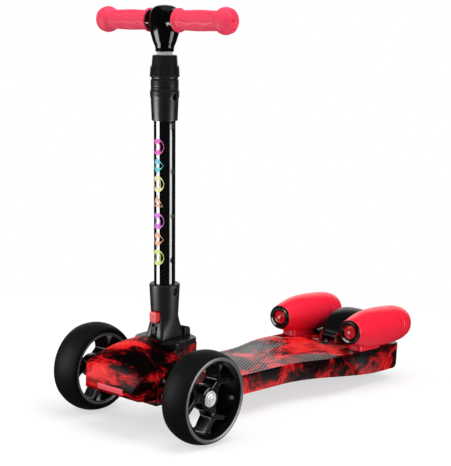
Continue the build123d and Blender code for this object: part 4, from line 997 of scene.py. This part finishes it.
def buildPad(p):
    loop = padLoop("deck_pad")
    bm = prism(loop, deckTop - p["thick"], deckTop, p["edge"], 2)
    xs, ys = [x for x, y in loop], [y for x, y in loop]
    centre = Vector(((min(xs) + max(xs)) / 2, (min(ys) + max(ys)) / 2))
    span = sqrt((max(xs) - min(xs)) ** 2 + (max(ys) - min(ys)) ** 2) / 2
    count = int(span / p["pitch"])
    for lean in (radians(p["angle"]), radians(-p["angle"])):
        along = Vector((sin(lean), cos(lean)))
        normal = Vector((-along.y, along.x))
        for k in range(-count, count + 1):
            origin = centre + normal * k * p["pitch"]
            cuts = crossings(loop, origin, along)
            for start, end in zip(cuts[::2], cuts[1::2]):
                start, end = start + p["margin"], end - p["margin"]
                if end - start >= p["ridgeLeast"]:
                    addRidge(bm, p, origin + along * start, origin + along * end, normal)
    bmesh.ops.recalc_face_normals(bm, faces=bm.faces)
    return bm


addOne("deckPad", buildPad(pad), rowAxes, "chassis", padFlame, ["deck_pad"], "deck_pad", smooth=25)
print("deck ready")

# rocket lamps; along is counted back from the front axle
rocket = {
    "nose": 398.5, "noseRadius": 20.4, "joint": (32.0, 503.0), "tail": 550.5, "band": 515.0,
    "shell": [(26.6, 421), (30.8, 442.0), (32.4, 464), (32.6, 484.0)],
    "tailCurve": [(30.3, 526), (28.5, 535), (26.2, 543.5)],
    "groove": 1.2, "seam": 0.4, "seamAngle": 0.008, "seamFrom": 18, "wall": 2.4,
    # spark is the radius of the pale dome at the lens centre, a painted highlight
    "ring": 19.8, "ringDepth": 4.0, "lens": 11.2, "lensRings": 36, "lensDome": 3.2, "spark": 3.1,
    "saddleHalf": 14.5, "saddleFront": 417.0, "saddleAcross": 69.0, "saddleLength": 64.0,
    "saddleFlare": 0.9, "saddleCorner": 9, "saddleLift": 0.05, "saddleTop": 14, "saddleRings": 12,
}


def buildRocketShell(r):
    radius, nose = r["noseRadius"], r["nose"]
    outer = curveThrough([(radius, nose), *r["shell"], r["joint"]], 10)
    outer[0] = (radius - 0.4, nose)
    inner = [(reach - r["wall"], along) for reach, along in reversed(outer)]

    def parting(reach, along, angle):
        cut = abs(sin(angle)) < r["seamAngle"] and reach > r["seamFrom"]
        return reach - r["seam"] if cut else reach

    return lathe(outer + inner, 256, shape=parting)


def buildRocketTail(r):
    (radius, joint), band, tail, plug = r["joint"], r["band"], r["tail"], 28.5
    cap = joint + r["groove"]
    spigot = [
        (0, joint - 6), (plug, joint - 6), (plug, joint + 0.1),
        (radius - 1.6, joint + 0.1), (radius - 1.6, cap),
    ]
    outer = curveThrough([(radius - 0.1, cap), (31.7, 508), (31.3, band - 0.6)], 6)
    outer += [(30.7, band), (31.2, band + 0.6)]
    outer += curveThrough([(31.1, band + 0.8), *r["tailCurve"], (22.4, tail - 0.8)])
    nozzle = [
        (21.2, tail), (14.0, tail), (13.2, tail - 0.8), (11.4, tail - 13), (7.0, tail - 13.4),
        (0, tail - 12),
    ]
    return lathe(spigot + outer + nozzle, fineTurn, closed=False)


def buildSaddle(r):                 # flared foot between the deck and the shell
    bm, rings, fillet = bmesh.new(), [], r["saddleCorner"]
    height = rocketHeight - deckTop - r["saddleTop"]
    for k in range(r["saddleRings"] + 1):
        t = k / r["saddleRings"]
        flare = r["saddleFlare"] * (1 - t) ** 2
        half, front = r["saddleHalf"] - 1.5 + flare, r["saddleFront"] + 2 - flare
        back = r["saddleFront"] + r["saddleLength"] - 2 + flare
        corners = [(-half, front), (half, front), (half, back), (-half, back)]
        level = deckTop + r["saddleLift"] + t * height
        rings.append([
            bm.verts.new((r["saddleAcross"] + x, axleY + y, level))
            for x, y in rounded([(*corner, fillet) for corner in corners], 8)
        ])
    bridge(bm, zip(rings, rings[1:]))
    bm.faces.new(rings[0][::-1])
    bm.faces.new(rings[-1])
    bmesh.ops.recalc_face_normals(bm, faces=bm.faces)
    return bm


def buildNoseRing(r):
    nose, ring, inner = r["nose"], r["ring"], r["lens"] + 0.05
    front = nose - r["ringDepth"]
    return lathe(rounded([
        (inner, nose + 2.0, 0.2), (ring - 2.6, nose + 2.0, 0.2), (ring - 2.6, nose - 0.1, 0.1),
        (ring, nose - 0.1, 0.2), (ring, front + 1.4, 2.4), (ring - 3.2, front + 0.2, 1.2),
        (r["lens"] + 2.4, front + 0.9, 0.8), (inner, front + 3.0, 0.4),
    ], 8), 160)


def buildLens(r):                   # shallow dome with pressed rings
    lens, count, back = r["lens"], r["lensRings"], r["nose"] + 1.5
    front = r["nose"] - r["ringDepth"] + 0.5
    outline = [(0, back), (lens, back), (lens, front + 3.4)]
    for k in range(count):
        t = 1 - k / count
        dome = r["lensDome"] * (1 - sqrt(max(0.0, 1 - (t * 0.98) ** 2)))
        outline.append((lens * t, front + dome + 0.1 * (1 + sin(k * pi * 0.75))))
    outline.append((0, front + 0.1))
    return lathe(outline, 120, closed=False)


def buildLensHighlight(r):                  # pale pink dome in the middle of the lens: a painted highlight
    front, radius = r["nose"] - r["ringDepth"] + 0.1, r["spark"]
    return lathe(rounded([
        (0, front + 2.5, 0), (radius, front + 2.5, 0.2), (radius, front + 0.9, 0.6),
        (1.9, front + 0.3, 0.5), (0, front, 0),
    ]), 48, closed=False)


shells = ["rocket_upper_{side}", "rocket_lower_{side}"]
for name, mesh, place, finish, replaced, slot in (
    ("rocketShell", buildRocketShell(rocket), rocketAxes, rocketRed, shells, "rocket_red"),
    ("rocketSaddle", buildSaddle(rocket), rowAxes, rocketRed, [], "rocket_red"),
    ("rocketTail", buildRocketTail(rocket), rocketAxes, tailRed,
     ["rocket_tail_{side}"], "rocket_red"),
    ("noseRing", buildNoseRing(rocket), rocketAxes, ringBlack, ["nose_ring_{side}"], "nose_black"),
    ("noseLens", buildLens(rocket), rocketAxes, lensRed, ["nose_lens_{side}"], "lens_red"),
    # the pale pink dome at the lens centre is a painted highlight
    ("noseLensHighlight", buildLensHighlight(rocket), rocketAxes, lensHighlightPink, [], "lens_red"),
):
    addPair(name, mesh, place, "chassis", finish, replaced, slot)
dress(boardWhite, "lamp_left", "lamp_right")
print("rockets ready")

# rear wheel and brake
rearWheel = {"radius": 50.0, "halfWidth": 18.0, "bore": 36.05, "shoulder": 9.0}
guard = {
    "ease": (0.7, 4), "outer": 62.0, "trim": 62.2, "trimAngles": (-20, 95), "reach": 100.0,
    "halfWidth": 23.0, "crown": 3.0, "archFrom": 215.0, "archEnd": 245.0,
}


def buildRearTyre(w):
    radius, half, bore, shoulder = w["radius"], w["halfWidth"], w["bore"], w["shoulder"]
    return lathe(rounded([
        (bore, -half, 0.4), (radius, -half, shoulder), (radius, half, shoulder), (bore, half, 0.4),
    ], 10), 160)


def buildGuard(g):                  # the CAD guard, trimmed to its arch and crowned across
    low, high = g["trimAngles"]
    angles = [radians(a) for a in range(low, high + 1, 5)]
    arc = [(rearY + g["trim"] * cos(a), rearHeight + g["trim"] * sin(a)) for a in angles[::-1]]
    far = [(rearY + g["reach"] * cos(a), rearHeight + g["reach"] * sin(a)) for a in angles]
    tool = moved(prism(arc + far, -2 * g["halfWidth"], 2 * g["halfWidth"]), sideways)
    bm = carved(softened("brake_guard", *g["ease"]), tool)
    for v in bm.verts:
        blend = min(1, max(0, (v.co.y - g["archFrom"]) / (g["archEnd"] - g["archFrom"])))
        share = 1 - blend * g["crown"] * (v.co.x / g["halfWidth"]) ** 2 / g["outer"]
        v.co.y = rearY + (v.co.y - rearY) * share
        v.co.z = rearHeight + (v.co.z - rearHeight) * share
    return bm


addOne("rearTyre", buildRearTyre(rearWheel), rearHub, "rear_wheel", tyreRubber, ["rear_tyre"],
       "tyre_black")
dress(rimGloss, "rear_core")
dress(turnedSteel, "rear_sleeves", "rear_spacer")
dress(chromePlate, "rear_axle", "rear_axle_nut")
dress(darkSteel, "brake_pin")
addOne("rearBearings", buildBearings(bearing, (-13, -6), (6, 13)), rearHub, "rear_wheel",
       turnedSteel, ["rear_bearings"], "bearing_steel")
addOne("brakeGuard", buildGuard(guard), rowAxes, "brake", guardBlack, ["brake_guard"],
       "guard_black")
print("rear wheel ready")

# camera
camera = {
    "place": (1.12010, -1.42816, 0.49527), "aim": (0.04621, -0.147, 0.27546), "roll": 3.25,
    "focalPixels": 1179.42, "frameHeight": 466, "sensor": 36, "clipEnd": 100,
}


def addCamera(c):
    data = bpy.data.cameras.new("camera")
    data.sensor_width = c["sensor"]
    data.lens = c["focalPixels"] * c["sensor"] / c["frameHeight"]
    data.clip_end = c["clipEnd"]
    item = bpy.data.objects.new("camera", data)
    bpy.context.scene.collection.objects.link(item)
    forward = (Vector(c["aim"]) - Vector(c["place"])).normalized()
    right = forward.cross(Vector((0, 0, 1))).normalized()
    up = right.cross(forward)
    roll = radians(c["roll"])
    right, up = right * cos(roll) + up * sin(roll), up * cos(roll) - right * sin(roll)
    turn = Matrix((right, up, -forward)).transposed().to_4x4()
    item.matrix_world = Matrix.Translation(c["place"]) @ turn
    bpy.context.scene.camera = item


addCamera(camera)

# floor, world and lamps
studio = {
    "floorHalf": 30, "floorGlow": 0.62, "floorGrey": 0.4, "bounceGrey": 0.72,
    "whiteFrom": (0.45, 1.1), "flagLevel": 0.03, "paper": (0.0, 0.4),
    "frontLevel": 0.02, "backLevel": 1.0, "backCone": (0.75, 0.92), "backWay": (-0.637, 0.76, 0.13),
    "ambient": 0.34, "aim": (0, -0.1, 0.25), "cardAim": 0.6,
    "lamps": [                      # name, azimuth, distance, height, width, tall, watts, card
        ("keyWash", -30, 2.6, 1.7, 2.2, 1.8, 36, False),
        ("topWash", 100, 0.6, 2.6, 2.2, 2.2, 48, False),
        ("fillWash", 95, 2.6, 1.2, 1.6, 1.6, 20, False),
        ("leftCard", -27, 0.6, 0.19, 0.34, 0.38, 4.5, True),
        ("rightCard", 100, 0.6, 0.19, 0.34, 0.38, 2.6, True),
        ("topCard", 60, 0.25, 1.75, 1.3, 1.3, 3, True),
    ],
}


def shaderNode(tree, kind, **inputs):
    node = addNode(tree, kind)
    for label, value in inputs.items():
        node.inputs[label].default_value = value
    return node.outputs[0]


def joinShaders(tree, kind, *sources):
    node = addNode(tree, kind)
    for source, socket in zip(sources, node.inputs):
        tree.links.new(source, socket)
    return node.outputs[0]


def addFloor(s):
    bm = bmesh.new()
    bmesh.ops.create_grid(bm, x_segments=1, y_segments=1, size=s["floorHalf"])
    mesh = bpy.data.meshes.new("floor")
    bm.to_mesh(mesh)
    bm.free()
    floor = bpy.data.objects.new("floor", mesh)
    bpy.context.scene.collection.objects.link(floor)
    material = bpy.data.materials.new("paleFloor")
    material.use_nodes = True
    tree = material.node_tree
    tree.nodes.remove(tree.nodes["Principled BSDF"])
    path = addNode(tree, "LightPath").outputs
    gloss = path["Is Glossy Ray"]
    seen = maths(tree, "MAXIMUM", path["Is Camera Ray"], gloss)
    seen = maths(tree, "MAXIMUM", seen, path["Is Transmission Ray"])
    reach = addNode(tree, "VectorMath", operation="LENGTH")
    tree.links.new(objectPoint(tree), reach.inputs[0])
    away = reach.outputs["Value"]
    smoothStep = {"interpolation_type": "SMOOTHSTEP"}
    edge = spanNode(tree, away, s["whiteFrom"], **smoothStep)
    beyond = maths(tree, "MULTIPLY", gloss, spanNode(tree, away, s["paper"], **smoothStep))
    plain = shaderNode(tree, "BsdfDiffuse", Color=(s["bounceGrey"],) * 3 + (1,))
    shown = shaderNode(tree, "BsdfDiffuse", Color=(s["floorGrey"],) * 3 + (1,))
    glow = shaderNode(tree, "Emission", Strength=s["floorGlow"])
    white = shaderNode(tree, "Emission", Strength=1.0)
    shade = shaderNode(tree, "Emission", Strength=s["flagLevel"])
    near = joinShaders(tree, "AddShader", shown, glow)
    far = joinShaders(tree, "MixShader", edge, near, white)
    flagged = joinShaders(tree, "MixShader", beyond, far, shade)  # dark beyond the paper, in gloss
    total = joinShaders(tree, "MixShader", seen, plain, flagged)
    tree.links.new(total, tree.nodes["Material Output"].inputs["Surface"])
    mesh.materials.append(material)


def addWorld(s):
    world = bpy.data.worlds.new("studio")
    bpy.context.scene.world = world
    world.use_nodes = True
    tree = world.node_tree
    link = tree.links.new
    dot = addNode(tree, "VectorMath", operation="DOT_PRODUCT")
    dot.inputs[1].default_value = s["backWay"]
    link(addNode(tree, "TexCoord").outputs["Generated"], dot.inputs[0])
    levels = (*s["backCone"], s["frontLevel"], s["backLevel"])
    behind = spanNode(tree, dot.outputs["Value"], levels, interpolation_type="SMOOTHSTEP")
    path = addNode(tree, "LightPath").outputs
    seen = maths(tree, "MAXIMUM", path["Is Camera Ray"], path["Is Transmission Ray"])
    level = addNode(tree, "Mix", data_type="FLOAT")
    shown = addNode(tree, "Mix", data_type="FLOAT")
    level.inputs["A"].default_value = s["ambient"]
    link(path["Is Glossy Ray"], level.inputs["Factor"])
    link(behind, level.inputs["B"])
    shown.inputs["B"].default_value = 1.0
    link(seen, shown.inputs["Factor"])
    link(level.outputs["Result"], shown.inputs["A"])
    sky = tree.nodes["Background"]
    link(shown.outputs["Result"], sky.inputs["Strength"])
    sky.inputs["Color"].default_value = (1, 1, 1, 1)


def addLamps(s):
    aim = Vector(s["aim"])
    for name, azimuth, distance, height, width, tall, watts, card in s["lamps"]:
        data = bpy.data.lights.new(name, "AREA")
        data.shape, data.size, data.size_y, data.energy = "RECTANGLE", width, tall, watts
        item = bpy.data.objects.new(name, data)
        bpy.context.scene.collection.objects.link(item)
        angle = radians(azimuth)
        item.location = Vector((sin(angle) * distance, aim.y - cos(angle) * distance, height))
        target = Vector((0, aim.y, min(height, s["cardAim"]))) if card else aim
        item.rotation_euler = (target - item.location).to_track_quat("-Z", "Y").to_euler()
        item.visible_camera = False
        item.visible_diffuse, item.visible_glossy = not card, card  # a card shows only in gloss


addFloor(studio)
addWorld(studio)
addLamps(studio)
bpy.context.scene.view_settings.view_transform = "Standard"
print("studio ready")
